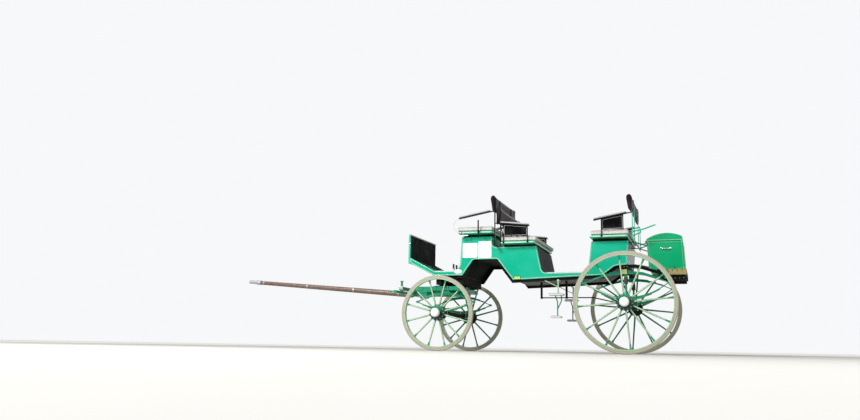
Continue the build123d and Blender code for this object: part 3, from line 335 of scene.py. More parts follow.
def ironTone(finish, tone):        # black irons, but for the steel bowed stays of the front bench
    start = aft(toneEdges["bowedStays"])
    stay = 1 - finish.axis("X").between(start, start + 0.001)
    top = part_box("cushion_front")[1].z + toneEdges["overCushion"]
    below = 1 - finish.axis("Z").between(top, top + 0.001)
    return finish.mix(colours["black"], colours["steel"], stay * below)


def rearIronTone(finish, tone):        # the bars and stays ahead of the backrest are black
    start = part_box("rear_irons")[1].x - toneEdges["rearBars"]
    return finish.mix(colours["black"], tone, finish.axis("X").between(start, start + 0.0003))


def stepTone(finish, tone):        # bright treads, and a pale hanger above them
    z = finish.axis("Z")
    upper, hanger = toneEdges["upperTread"], toneEdges["hanger"]
    low, high = toneEdges["lowerTread"]
    lower = z.between(low, low + 0.0005) * (1 - z.between(high, high + 0.0005))
    bright = finish.mix(tone, colours["steel"], z.between(upper, upper + 0.001) + lower)
    return finish.mix(bright, colours["stripe"], z.between(hanger, hanger + 0.0005))


# painted shade: below its boards the platform is painted black, all but its outer faces, for the shade
# beneath the boot
def platformUndersideShade(finish, tone):        # below its boards, all but its outer faces is dark
    low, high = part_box("boot_platform")
    z = finish.axis("Z")
    outer = finish.size(finish.axis("Y")).between(high.y - 0.002, high.y - 0.001)
    above = z.between(high.z - toneEdges["boards"] - 0.0005, high.z - toneEdges["boards"])
    unshaded = finish.node("Math", {"operation": "MAXIMUM"}, {0: outer, 1: above})
    return finish.mix(colours["black"], tone, unshaded * z.between(low.z + 0.0005, low.z + 0.001))


# painted shade: the back of the rear bench's box, which faces away from the light, is painted black
def rearBoxBackShade(finish, tone):        # the rear bench's box is dark at its back
    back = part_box("rear_seat_box")[1].x - toneEdges["boxBack"]
    return finish.mix(tone, colours["black"], finish.axis("X").between(back - 0.0015, back))


finishes = {
    "body": paint("bodyPaint", colours["green"], 0.24),
    "boot": paint("bootPaint", colours["boot"], 0.34, 0.04, 0.03, gloss=0.05),
    "seat": paint("seatPaint", colours["green"], 0.3, 0.04),
    "irons": paint("ironPaint", colours["green"], 0.3, 0.04, special=ironTone),
    "rearIrons": paint("rearIronPaint", colours["green"], 0.3, 0.04, special=rearIronTone),
    "steps": paint("stepPaint", colours["gear"], 0.34, 0.1, 0.2, 0.9, special=stepTone),
    "rearBox": paint("rearBoxPaint", colours["green"], 0.26, special=rearBoxBackShade),
    "gear": paint("gearPaint", colours["gear"], 0.34, 0.16, 0.2, 0.9),
    "mint": paint("mintPaint", colours["mint"], 0.34, 0.03, 0.2),
    "rim": paint("rimPaint", colours["felloe"], 0.4, 0.1, 0.1),
    "line": paint("coachLine", colours["line"], 0.36, 0.03, 0.2),
    # black paint and painted shade: the underside parts are made darker still and nearly without gloss, for
    # the shade under the carriage
    "under": paint("underPaintAndShade", colours["under"], 0.6, 0.03, 0.0, 1.1, gloss=0.012),
    "black": paint("blackIron", colours["black"], 0.42, 0.03, 0.02, gloss=0.035),
    "leather": hide("rollLeather", colours["leather"], 0.42, 360, 0.5, 0.045),
    "panel": hide("panelLeather", colours["black"], 0.5, 420, 0.4),
    "lining": hide("liningLeather", colours["lining"], 0.56, 460, 0.5, 0.012),
    "vinyl": hide("boxVinyl", colours["vinyl"], 0.5, 600, 0.3),
    # grey leather and painted sheen: the armrest pads are made pale grey and glossy, for the sunlit sheen
    # along the tops of darker pads
    "grey": hide("armVinylSheen", colours["grey"], 0.42, 600, 0.3, 0.4),
    "cushion": weave("cushionCloth", colours["cushion"], soil=0.06),
    "piping": weave("pipingCloth", darker(colours["cushion"], 0.8), 0.0022, 0.1),
    "carpet": pile("floorCarpet", colours["carpet"]),
    "tan": timber("tanWood", colours["tan"], (14, 1.1, 14), 0.4, 0.25, 0.1),
    "platform": timber("platformWood", colours["platform"], (14, 1.1, 14), 0.6, 0.0, 0.2, platformUndersideShade),
    "pole": timber("poleWood", colours["pole"], (1.1, 16, 16), 0.35, 0.3, 0.15),
    "steel": metal("brightSteel", colours["steel"], 0.28),
    "sill": metal("sillAluminium", colours["steel"], 0.36, (400, 6, 6)),
    "chrome": metal("chrome", colours["chrome"], 0.12, (6, 6, 60), 0.06),
    "bolt": metal("boltZinc", shade(160, 162, 160), 0.4, (30, 30, 30), 0.4),
    "tyre": rubber("tyreRubber", colours["tyre"], 0.2),
    "stop": rubber("stopRubber", colours["black"], 0.15),
    "tread": rubber("treadRubber", shade(150, 150, 148), 0.4),
    "plate": enamel("plateEnamel", colours["white"]),
    "cap": enamel("capEnamel", shade(232, 238, 232), 0.22),
    "lime": lens("limeReflector", shade(186, 226, 48)),
    "amber": lens("amberReflector", shade(208, 206, 92)),
}
print("finishes made:", len(finishes))

# Spokes: the turn of the first one, half the width of its stripe, the share of the rim's radius and the
# radius where the stripe ends and starts. Then the depth of felloe and tyre, the dish, how far out the
# spoke's face lies, and the radii between which the hub's paint gives way
spokes = {"count": 12, "turn": {"front": 15, "rear": 5.5}, "stripeHalf": 0.0064, "reach": 0.86, "start": 0.1,
          "rimInset": 0.050, "dish": 0.014, "face": (0.002, 0.006), "hub": (0.094, 0.097)}


def wheelPaint(end, side):
    # Gear paint with a pale stripe along the outer face of each spoke and a pale rim, all from each point's
    # distance and turn about the wheel's own centre. The hub has painted shade: dark below, lighter toward
    # its top.
    x, y, z = hubs[end, side]
    way = sides[side]
    rim = z - spokes["rimInset"]
    fixed = {"Coat Weight": 0.2, "Coat Roughness": 0.08, "Specular IOR Level": 0.3}
    finish = Finish(f"wheelPaint_{end}_{side}", fixed)
    dx = finish.axis("X") - x
    dz = finish.axis("Z") - z
    reach = (dx * dx + dz * dz) ** 0.5
    step = radians(360 / spokes["count"])
    turned = finish.node("Math", {"operation": "ARCTAN2"}, {0: dz, 1: dx})
    turned += radians(way * spokes["turn"][end])
    share = finish.node("Math", {"operation": "FRACT"}, {0: turned / step + (0.5 + spokes["count"])})
    aside = finish.size((share - 0.5) * step * reach)
    outward = (finish.axis("Y") - y) * way
    dish = (reach / rim * -spokes["dish"]) + spokes["dish"]
    onFace = (outward + dish).between(*spokes["face"])
    half, start, stop = spokes["stripeHalf"], spokes["start"], rim * spokes["reach"]
    along = reach.between(start, start + 0.01)
    before = 1 - reach.between(stop, stop + 0.03)
    stripe = (1 - aside.between(half, half + 0.0015)) * onFace * along * before
    felloe = reach.between(rim - 0.003, rim)
    grime = finish.noise(30, 5.0, 0.65).between(0.4, 0.8)
    patches = finish.noise(9, 4.0)
    shadow, light = darker(colours["gear"], 0.5), darker(colours["gear"], 0.75)
    green = finish.mix(shadow, light, patches.between(0.25, 0.7))
    # painted shade: the hub is dark below its middle and turns to gear green toward its top
    hub = finish.mix(colours["hubShade"], colours["gear"], dz.between(0.0, 0.1))
    green = finish.mix(hub, green, reach.between(*spokes["hub"]))
    tone = finish.mix(green, colours["felloe"], felloe)
    tone = finish.mix(tone, colours["stripe"], stripe)
    return finish.feed(
        finish.mix(tone, dustColour, grime * 0.08), grime * 0.3 + 0.3,
        finish.bump(finish.noise(150, 2.0), 0.0005, 0.4))


def dress(finish, *names):        # gives carried-over CAD nodes their finish
    for name in names:
        for slot in nodes[name].material_slots:
            slot.material = finish


for end in ("front", "rear"):
    for side in sides:
        dress(wheelPaint(end, side), f"wheel_{end}_{side}")
        dress(finishes["tyre"], f"tyre_{end}_{side}")
        dress(finishes["cap"], f"hub_cap_{end}_{side}")
for finish, names in {
    "body": "body_side_left body_side_right front_seat_box dashboard",
    "rearBox": "rear_seat_box",
    "seat": "seat_board_front seat_board_middle seat_board_rear hand_rails",
    "boot": "boot_box boot_lid",
    "under": "arch_panel seat_risers chassis_rail_left chassis_rail_right chassis_beams turntable_upper "
             "turntable_lower front_axle rear_axle",
    "gear": "fore_frame splinter_bar swingletree_left swingletree_right front_springs rear_springs",
    "steps": "steps",
    "irons": "seat_irons",
    "rearIrons": "rear_irons",
    "black": "boot_ties brake_rod whip_socket",
    "carpet": "front_floor rear_floor",
    "lining": "dash_lining",
    "vinyl": "middle_seat_box",
    "tan": "dash_rail",
    "platform": "boot_platform",
    "pole": "pole",
    "steel": "pole_head foot_brake",
}.items():
    dress(finishes[finish], *names.split())
print("frame dressed")


def gridFaces(rows, columns, roundRows=False, roundColumns=False):
    # Quads between neighbours of a grid of points, row by row, closed round where asked.
    a = np.arange(rows if roundRows else rows - 1)[:, None]
    b = np.arange(columns if roundColumns else columns - 1)[None, :]
    c, d = (a + 1) % rows, (b + 1) % columns
    quads = np.stack([a * columns + b, a * columns + d, c * columns + d, c * columns + b], -1)
    return quads.reshape(-1, 4).tolist()


def joined(*shapes):        # several shapes as one list of points and one of faces
    points, faces, count = [], [], 0
    for shapePoints, shapeFaces in shapes:
        points.append(np.asarray(shapePoints, float))
        faces += [[i + count for i in face] for face in shapeFaces]
        count += len(shapePoints)
    return np.concatenate(points), faces


def surface(form, rows, columns, roundRows=False, roundColumns=False):
    # Points of form(u, v), with u and v from 0 to 1 over a grid.
    u = np.linspace(0, 1, rows, endpoint=not roundRows)[:, None] + np.zeros((1, columns))
    v = np.linspace(0, 1, columns, endpoint=not roundColumns)[None, :] + np.zeros((rows, 1))
    points = np.stack(np.broadcast_arrays(*form(u, v)), -1).reshape(-1, 3)
    return points, gridFaces(rows, columns, roundRows, roundColumns)


def carry(path, profile, up=(0, 0, 1), closed=False):
    # A closed profile carried along a path: each point of the path, plus the profile's first measure
    # across it and its second along the third axis, widened at corners so that the runs keep their width.
    path = np.asarray(path, float)
    profile = np.asarray(profile, float)
    runs = np.roll(path, -1, 0) - path
    runs /= np.linalg.norm(runs, axis=1)[:, None] + 1e-12
    before = np.roll(runs, 1, 0)
    if not closed:
        before[0], runs[-1] = runs[0], before[-1]
    heading = runs + before
    heading /= np.linalg.norm(heading, axis=1)[:, None]
    across = np.cross(heading, np.asarray(up, float))
    across /= np.linalg.norm(across, axis=1)[:, None]
    third = np.cross(across, heading)
    widen = 1 / np.clip((heading * runs).sum(1), 0.35, 1)
    first = across[:, None] * (profile[None, :, :1] * widen[:, None, None])
    points = path[:, None] + first + third[:, None] * profile[None, :, 1:]
    count = len(profile)
    faces = gridFaces(len(path), count, closed, True)
    if not closed:
        faces += [list(range(count))[::-1], list(range((len(path) - 1) * count, len(path) * count))]
    return points.reshape(-1, 3), faces


def lathe(profile, centre, axis, steps):
    # A profile of radius and height turned about an axis through the centre. Ends at radius 0 close it.
    profile = np.asarray(profile, float)
    axis = np.asarray(axis, float) / np.linalg.norm(axis)
    start = (0, 0, 1) if abs(axis[2]) < 0.9 else (1, 0, 0)
    first = np.cross(start, axis)
    first /= np.linalg.norm(first)
    second = np.cross(axis, first)
    turn = np.linspace(0, 2 * pi, steps, endpoint=False)
    spoke = np.cos(turn)[:, None] * first + np.sin(turn)[:, None] * second
    points = np.asarray(centre, float) + spoke[:, None] * profile[None, :, :1] + axis * profile[None, :, 1:]
    return points.reshape(-1, 3), gridFaces(steps, len(profile), True, False)


def ringProfile(across, high, count=12, power=2.0):
    # Points round an ellipse, squarer for a higher power.
    turn = np.linspace(0, 2 * pi, count, endpoint=False)
    bend = lambda wave: np.sign(wave) * np.abs(wave) ** (2 / power)
    return np.stack([across * bend(np.cos(turn)), high * bend(np.sin(turn))], 1)


def boxAbout(x, y, halfLong, halfWide, low, high):        # a box about an upright line, between two heights
    return block((x - halfLong, y - halfWide, low), (x + halfLong, y + halfWide, high))


def rounded(corners, steps=6):
    # A line through corners given as X, Z and radius, with an arc in place of each sharp corner.
    corners = np.asarray(corners, float)
    line = []
    for i, (x, z, radius) in enumerate(corners):
        here = np.array([x, z])
        toward = corners[i - 1, :2] - here
        away = corners[(i + 1) % len(corners), :2] - here
        toward, away = toward / np.linalg.norm(toward), away / np.linalg.norm(away)
        if radius == 0:
            line.append(here[None])
            continue
        half = np.arccos(np.clip(toward @ away, -1, 1)) / 2
        middle = (toward + away) / np.linalg.norm(toward + away)
        centre = here + middle * radius / np.sin(half)
        first = here + toward * radius / np.tan(half) - centre
        last = here + away * radius / np.tan(half) - centre
        swing = np.arctan2(first[0] * last[1] - first[1] * last[0], first @ last)
        turn = np.linspace(0, swing, steps)[:, None]
        line.append(centre + first * np.cos(turn) + np.array([-first[1], first[0]]) * np.sin(turn))
    return np.concatenate(line)


def rectangle(low, high, radius, steps):        # the rounded outline of a rectangle between two corners
    return rounded([(low[0], low[1], radius), (high[0], low[1], radius), (high[0], high[1], radius),
                    (low[0], high[1], radius)], steps)


def inset(line, distance):
    # A closed line moved square to itself, to the left of its direction.
    runs = np.roll(line, -1, 0) - line
    runs /= np.linalg.norm(runs, axis=1)[:, None]
    squares = np.stack([-runs[:, 1], runs[:, 0]], 1)
    middle = squares + np.roll(squares, 1, 0)
    middle /= np.linalg.norm(middle, axis=1)[:, None]
    return line + middle * (distance / np.clip((middle * squares).sum(1), 0.3, 1))[:, None]


def piece(name, body, slot, finish, *shapes, smooth=True, bevel=0.0, bevelSteps=2):
    # A mesh of these shapes, with doubles merged and faces turned outwards.
    points, faces = joined(*shapes)
    mesh = bpy.data.meshes.new(name)
    mesh.from_pydata(points.tolist(), [], faces)
    work = bmesh.new()
    work.from_mesh(mesh)
    bmesh.ops.remove_doubles(work, verts=work.verts, dist=1e-6)
    bmesh.ops.dissolve_degenerate(work, edges=work.edges, dist=1e-7)
    bmesh.ops.recalc_face_normals(work, faces=work.faces)
    work.to_mesh(mesh)
    work.free()
    made = bpy.data.objects.new(name, mesh)
    scene.collection.objects.link(made)
    mesh.materials.append(finish)
    if smooth:
        mesh.shade_smooth()
        mesh.set_sharp_from_angle(angle=radians(38))
    if bevel:
        edge = made.modifiers.new("bevel", "BEVEL")
        edge.width, edge.segments, edge.limit_method = bevel, bevelSteps, "ANGLE"
        edge.angle_limit = radians(35)
    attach(made, body)
    return made


boltHead = {"sides": 6, "profile": ((0, 0), (1, 0), (1, 0.5), (0.86, 0.62), (0, 0.68))}


def bolts(places):
    # Hexagon heads: each is a centre, the way it points and its radius.
    profile = np.array(boltHead["profile"])
    return [lathe(profile * radius, place, way, boltHead["sides"]) for place, way, radius in places]


def block(low, high):        # a box from its lowest to its highest corner
    x, y, z = zip(low, high)
    return np.array([(a, b, c) for a in x for b in y for c in z]), [
        [0, 1, 3, 2], [4, 6, 7, 5], [0, 4, 5, 1], [2, 3, 7, 6], [0, 2, 6, 4], [1, 5, 7, 3]]


# Floor
def floorForm(u, v):
    # A level square sheet at height 0.
    reach = stage["floorReach"]
    return (u * 2 - 1) * reach, (v * 2 - 1) * reach, 0 * u


ground = Finish("floorFinish", {"Specular IOR Level": 0.1, "Emission Strength": 1.0})
flecks = ground.noise(3.0, 6.0)
near, far, level = stage["farGlow"]
distance = (ground.axis("X") ** 2.0 + ground.axis("Y") ** 2.0) ** 0.5
glow = ground.mix((0, 0, 0, 1), (level, level, level, 1), distance.between(near, far))
ground.tree.links.new(glow.socket, ground.shader.inputs["Emission Color"])
tone = ground.mix(darker(stage["floorColour"], 0.95), stage["floorColour"], flecks)
ground.feed(tone, flecks * 0.05 + 0.8)
points, faces = surface(floorForm, 9, 9)
mesh = bpy.data.meshes.new("floor")
mesh.from_pydata(points.tolist(), [], faces)
mesh.materials.append(ground.material)
floor = bpy.data.objects.new("floor", mesh)
scene.collection.objects.link(floor)

# World: an even day level on the object, and a pale backdrop where the camera or a reflection sees it
world = bpy.data.worlds.new("backdrop")
scene.world = world
world.use_nodes = True
tree = world.node_tree
day = tree.nodes["Background"]
day.inputs["Color"].default_value = (1, 1, 1, 1)
day.inputs["Strength"].default_value = stage["dayLevel"]
pale = tree.nodes.new("ShaderNodeBackground")
pale.inputs["Color"].default_value = stage["backColour"]
rays = tree.nodes.new("ShaderNodeLightPath")
total = rays.outputs["Is Camera Ray"]
for ray in ("Is Glossy Ray", "Is Transmission Ray"):
    adder = tree.nodes.new("ShaderNodeMath")
    adder.use_clamp = True
    tree.links.new(total, adder.inputs[0])
    tree.links.new(rays.outputs[ray], adder.inputs[1])
    total = adder.outputs[0]
chooser = tree.nodes.new("ShaderNodeMixShader")
tree.links.new(total, chooser.inputs[0])
tree.links.new(day.outputs[0], chooser.inputs[1])
tree.links.new(pale.outputs[0], chooser.inputs[2])
tree.links.new(chooser.outputs[0], tree.nodes["World Output"].inputs["Surface"])
print("stage set")


def merged(node):        # a CAD node's mesh with its loose triangles joined up
    work = bmesh.new()
    work.from_mesh(nodes[node].data)
    bmesh.ops.remove_doubles(work, verts=work.verts, dist=1e-5)
    mesh = bpy.data.meshes.new(node + "Form")
    work.to_mesh(mesh)
    work.free()
    return mesh


def coordinates(mesh, kind="co"):
    values = np.zeros(len(mesh.vertices) * 3, np.float32)
    source = mesh.vertices if kind == "co" else mesh.vertex_normals
    source.foreach_get("co" if kind == "co" else "vector", values)
    return values.reshape(-1, 3).astype(float)


# A stuffed form: the solid is remeshed evenly, drawn in by its slack, blown up as cloth,
# and no point ends further than its cap from where it started
def stuffed(node, pad):
    work = bpy.data.objects.new("work", merged(node))
    scene.collection.objects.link(work)
    grid = work.modifiers.new("grid", "REMESH")
    grid.mode, grid.voxel_size = "VOXEL", pad["voxel"]
    even = bpy.data.meshes.new_from_object(work.evaluated_get(bpy.context.evaluated_depsgraph_get()))
    work.modifiers.clear()
    work.data = even
    outward = coordinates(even, "normal")
    start = coordinates(even) - outward * pad["slack"]
    even.vertices.foreach_set("co", start.ravel())
    even.update()
    cloth = work.modifiers.new("cloth", "CLOTH")
    cloth.settings.use_pressure = True
    cloth.settings.uniform_pressure_force = pad["pressure"]
    cloth.settings.effector_weights.gravity = 0
    cloth.settings.quality = 5
    cloth.point_cache.frame_start, cloth.point_cache.frame_end = 1, 20
    for step in range(1, 21):
        scene.frame_set(step)
    grown = work.evaluated_get(bpy.context.evaluated_depsgraph_get())
    moved = coordinates(grown.data) - start
    moved -= moved.mean(0)
    far = np.linalg.norm(moved, axis=1)[:, None]
    points = start + moved * np.minimum(1, pad["cap"] / (far + 1e-9))
    scene.frame_set(1)
    faces = [list(face.vertices) for face in even.polygons]
    bpy.data.objects.remove(work)
    low, high = [np.array(corner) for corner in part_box(node)]
    high = high + pad["swell"]
    share = (points - points.min(0)) / (points.max(0) - points.min(0))
    return low + share * (high - low), faces


def fitted(points, fromNode, toNode, mirrored=False):        # moved from one node's box to another's
    (a, b), (c, d) = [[np.array(corner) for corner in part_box(name)] for name in (fromNode, toNode)]
    share = (points - a) / (b - a)
    if mirrored:
        share[:, 0] = 1 - share[:, 0]
    return c + share * (d - c)


def clung(path, tree):        # a line of points laid on the nearest places of a surface
    return np.array([list(tree.find_nearest(list(point))[0]) for point in path])


def girdle(tree, centre, first, second, count=72):        # the line round a form, seen from a centre
    turn = np.linspace(0, 2 * pi, count, endpoint=False)[:, None]
    rays = np.cos(turn) * np.array(first) + np.sin(turn) * np.array(second)
    found = [tree.ray_cast([float(v) for v in centre], [float(v) for v in ray])[0] for ray in rays]
    return np.array([list(point) for point in found if point is not None])


def softly(name, points, faces, finish, slot, node):
    made = piece(name, "carriage", slot, finish, (points, faces))
    smoother = made.modifiers.new("smooth", "SUBSURF")
    smoother.levels = smoother.render_levels = 1
    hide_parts(node)
    return made


# Bench cushions: crowned tops, walls that pull in, a sewn channel along the middle, piped edges
cushion = {"voxel": 0.008, "slack": 0.008, "pressure": 4, "cap": 0.019, "fill": 0.7, "channel": 0.008,
           "channelHalf": 0.007, "crossings": (-0.29, 0.29), "piping": 0.0042, "swell": (0, 0, 0.008),
           "pipingDrop": 0.011, "corner": 0.03, "endFold": 0.006, "foldReach": 0.03, "crown": 0.012}
form, formFaces = stuffed("cushion_front", cushion)
for name in ("front", "middle", "rear"):
    node = f"cushion_{name}"
    low, high = [np.array(corner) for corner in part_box(node)]
    points = fitted(form, "cushion_front", node)
    middleX = (low[0] + high[0]) / 2
    lift = np.clip((points[:, 2] - low[2]) / 0.02, 0, 1)
    for offset in [points[:, 0] - middleX] + [points[:, 1] - y for y in cushion["crossings"]]:
        points[:, 2] -= cushion["channel"] * lift * np.exp(-((offset / cushion["channelHalf"]) ** 2))
    reach = cushion["foldReach"]
    ends = np.clip((np.abs(points[:, 1]) - (high[1] - reach)) / reach, 0, 1)
    fold = np.exp(-(((points[:, 0] - middleX) / cushion["channelHalf"]) ** 2)) * ends
    points[:, 1] -= np.sign(points[:, 1]) * fold * cushion["endFold"]
    points[:, 2] = np.clip(points[:, 2], low[2], high[2] + cushion["crown"])
    softly(node + "Pad", points, formFaces, finishes["cushion"], "cushion_fabric", node)
    tree = BVHTree.FromPolygons(points.tolist(), formFaces)
    plan = rectangle(low, high, cushion["corner"], 9)
    stretch = np.linspace(0, 1, 24, endpoint=False)[:, None]
    plan = np.concatenate([a + (b - a) * stretch if np.linalg.norm(b - a) > 0.1 else a[None]
                           for a, b in zip(plan, np.roll(plan, -1, 0))])
    cords = []
    for z in (high[2] - cushion["pipingDrop"], low[2] + cushion["pipingDrop"]):
        line = clung(np.column_stack([plan, np.full(len(plan), z)]), tree)
        cords.append(carry(line, ringProfile(cushion["piping"], cushion["piping"], 8), closed=True))
    piece(node + "Piping", "carriage", "cushion_fabric", finishes["piping"], *cords)
print("cushions stuffed")

# Backrests: one long roll, sewn into three by cords, with piped round ends
backrest = {"voxel": 0.008, "slack": 0.006, "pressure": 5, "cap": 0.014, "fill": 0.85,
            "seams": (-0.285, 0.245), "seamDepth": 0.007, "seamHalf": 0.007, "cord": 0.0032,
            "endInset": 0.016, "swell": (0, 0, 0)}
form, formFaces = stuffed("backrest_front", backrest)
frontBox = [np.array(corner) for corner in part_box("backrest_front")]
form[:, 0] = np.minimum(form[:, 0], frontBox[1][0])
for name in ("front", "middle", "rear"):
    node = f"backrest_{name}"
    low, high = [np.array(corner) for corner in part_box(node)]
    points = fitted(form, "backrest_front", node, name == "middle")
    centre = (low + high) / 2
    for y in backrest["seams"]:
        pull = np.exp(-(((points[:, 1] - y) / backrest["seamHalf"]) ** 2)) * backrest["seamDepth"]
        away = points - centre
        away[:, 1] = 0
        points -= away / (np.linalg.norm(away, axis=1)[:, None] + 1e-9) * pull[:, None]
    softly(node + "Pad", points, formFaces, finishes["leather"], "dark_leather", node)
    tree = BVHTree.FromPolygons(points.tolist(), formFaces)
    cords = []
    edge = high[1] - backrest["endInset"]
    for y in (*backrest["seams"], -edge, edge):
        line = girdle(tree, (centre[0], y, centre[2]), (1, 0, 0), (0, 0, 1))
        cords.append(carry(line, ringProfile(backrest["cord"], backrest["cord"], 8), (0, 1, 0), True))
    piece(node + "Cords", "carriage", "dark_leather", finishes["panel"], *cords)
print("backrests stuffed")

# Armrests: underside line from station and height to station and height, and the panel's ends
armrest = {
    "lines": {"front": ((0.228, 1.623), (0.629, 1.697), ()),
              "middle": ((0.748, 1.545), (1.112, 1.506), (0.790, 1.090)),
              "rear": ((1.874, 1.541), (2.254, 1.611), (1.965, 2.215))},
    "y": 0.585, "half": 0.023, "base": 0.005, "thickness": 0.022, "crown": 0.004, "panelY": 0.573,
    "panelHalf": 0.006, "panelGap": 0.004, "panelDrop": 0.0083, "fill": 0.9, "seamInset": 0.012,
    "seam": (0.0022, 0.0014),
}


# The pad's section is a squared ellipse; it swells to full size away from both ends and crowns in the middle
def padForm(start, end, y):
    def form(u, v):
        swell = (1 - np.abs(2 * u - 1) ** 14) ** (1 / 3) + 1e-4
        turn = 2 * pi * v
        wide = np.sign(np.cos(turn)) * np.abs(np.cos(turn)) ** 0.62
        high = np.sign(np.sin(turn)) * np.abs(np.sin(turn)) ** 0.62
        body = (armrest["thickness"] - armrest["base"]) / 2
        x = start[0] + (end[0] - start[0]) * u
        z = start[1] + (end[1] - start[1]) * u + armrest["base"] + body
        rise = armrest["crown"] * (1 - (2 * u - 1) ** 2) * np.clip(high, 0, 1)
        return x, y + wide * armrest["half"] * swell, z + high * body * swell + rise
    return form


# The panel's two faces swell from a thin bound edge to full thickness
def panelForm(low, high, foot, line, y):
    def form(u, v):
        way = np.where(v < 0.5, -1.0, 1.0)
        across = np.where(v < 0.5, 2 * v, 2 - 2 * v)
        x = low + (high - low) * u
        top = line(x)
        z = foot + (top - foot) * across
        soft = ((1 - (2 * u - 1) ** 10) * (1 - (2 * across - 1) ** 10)) ** 0.5
        return x, y + way * armrest["panelHalf"] * soft, z
    return form


pads, bases, panels, seams = [], [], [], []
for name, (start, end, span) in armrest["lines"].items():
    start, end = (aft(start[0]), start[1]), (aft(end[0]), end[1])
    slope = (end[1] - start[1]) / (end[0] - start[0])
    line = lambda x, start=start, slope=slope: start[1] + slope * (x - start[0]) - armrest["panelDrop"]
    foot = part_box(f"cushion_{name}")[1].z + armrest["panelGap"]
    for way in sides.values():
        y = way * armrest["y"]
        pads.append(surface(padForm(start, end, y), 49, 20, False, True))
        run = np.linspace(0, 1, 12)[:, None]
        path = np.array([start[0], y, start[1]]) + run * np.array([end[0] - start[0], 0, end[1] - start[1]])
        path[:, 2] += armrest["base"] / 2
        bases.append(carry(path, ringProfile(armrest["half"] - 0.003, armrest["base"] / 2, 12, 6)))
        if not span:
            continue
        panelY = way * armrest["panelY"]
        panels.append(surface(panelForm(aft(span[0]), aft(span[1]), foot, line, panelY), 41, 40, False, True))
        gap = armrest["seamInset"]
        low, high = aft(span[0]) + gap, aft(span[1]) - gap
        frameLine = [(low, foot + gap), (high, foot + gap), (high, line(high) - gap), (low, line(low) - gap)]
        frameLine = rounded([(x, z, 0.01) for x, z in frameLine], 5)
        for face in (-1, 1):
            edge = panelY + face * armrest["panelHalf"] * 0.93
            path = np.column_stack([frameLine[:, 0], np.full(len(frameLine), edge), frameLine[:, 1]])
            seams.append(carry(path, ringProfile(*armrest["seam"], 6), (0, 1, 0), True))
# the pads' pale grey is partly painted sheen on their sunlit tops
armPads = piece("armrestPads", "carriage", "dark_leather", finishes["grey"], *pads)
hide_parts("armrests")
piece("armrestBases", "carriage", "dark_leather", finishes["black"], *bases)
armPanels = piece("armrestPanels", "carriage", "dark_leather", finishes["panel"], *panels)
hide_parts("armrests")
piece("armrestSeams", "carriage", "dark_leather", finishes["piping"], *seams)
print("armrests covered")

# Body sides: a pale moulding just inside the whole outline (stations, height, corner radius)
sideEdging = {
    "outline": (
        (-0.450, 1.092, 0), (-0.120, 0.925, 0.06), (0.245, 0.925, 0.02), (0.384, 1.121, 0.045),
        (0.690, 1.121, 0.045), (0.887, 0.861, 0.02), (1.955, 0.905, 0.06), (2.100, 1.013, 0.12),
        (2.232, 1.020, 0), (2.258, 1.300, 0.006), (1.832, 1.300, 0.006), (1.788, 0.945, 0.062),
        (1.240, 0.945, 0.062), (1.176, 1.266, 0.006), (0.622, 1.266, 0.06), (0.622, 1.400, 0.006),
        (0.237, 1.400, 0.006), (0.212, 0.985, 0.10), (-0.120, 0.985, 0.06), (-0.450, 1.162, 0)),
    "inset": 0.009, "half": 0.0055, "proud": 0.003, "faceY": 0.490,
}


# A half-round strip's section, with its foot sunk below the face that it lies on
def moulding(half, proud, count=7, sunk=0.001):
    turn = np.linspace(0, pi, count)
    arch = np.stack([half * np.cos(turn), proud * np.sin(turn)], 1)
    return np.concatenate([[[half, -sunk]], arch, [[-half, -sunk]]])


def sideways(line, y):        # a line of X and Z at this Y
    return np.column_stack([line[:, 0], np.full(len(line), y), line[:, 1]])


outline = rounded([(aft(x), z, radius) for x, z, radius in sideEdging["outline"]], 7)
edgeLine = inset(outline, sideEdging["inset"])
face = sideEdging["faceY"]
section = moulding(sideEdging["half"], sideEdging["proud"])
strips = [carry(sideways(edgeLine, way * face), section, (0, way, 0), True) for way in sides.values()]
piece("bodyEdging", "carriage", "body_paint", finishes["line"], *strips)

# Sills: ribbed bright strips bent over the outer edge of both entrances
sill = {"runs": ((-0.112, 0.148, 0.985), (1.306, 1.722, 0.945)), "outer": 0.4915, "inner": 0.4665,
        "lip": 0.014, "thickness": 0.0018, "ribs": 5, "rib": 0.0007, "screws": 5, "screw": 0.0034,
        "screwInset": 0.02}


# The strip's section: a flat top with small ribs, then a lip down the outer face
def sillProfile(way):
    across = np.linspace(sill["inner"], sill["outer"] - 0.001, sill["ribs"] * 4 + 1)
    ribs = sill["rib"] * (np.arange(len(across)) % 4 < 2) + sill["thickness"]
    top = np.stack([across, ribs], 1)
    skin, back = sill["outer"] + 0.0012, sill["outer"] - 0.002
    outer = [(skin, sill["thickness"] * 0.3), (skin, -sill["lip"]), (back, -sill["lip"]), (back, -0.001),
             (sill["inner"], -0.001)]
    return np.concatenate([top, outer]) * [way, 1]


strips, screws = [], []
for start, end, z in sill["runs"]:
    for way in sides.values():
        strips.append(carry([(aft(start), 0, z), (aft(end), 0, z)], sillProfile(-way)))
        margin = sill["screwInset"]
        for x in np.linspace(aft(start) + margin, aft(end) - margin, sill["screws"]):
            place = (x, way * (sill["inner"] + sill["outer"]) / 2, z + sill["thickness"] + 0.0004)
            screws.append((place, (0, 0, 1), sill["screw"]))
piece("sillStrips", "carriage", "bright_steel", finishes["sill"], *strips)

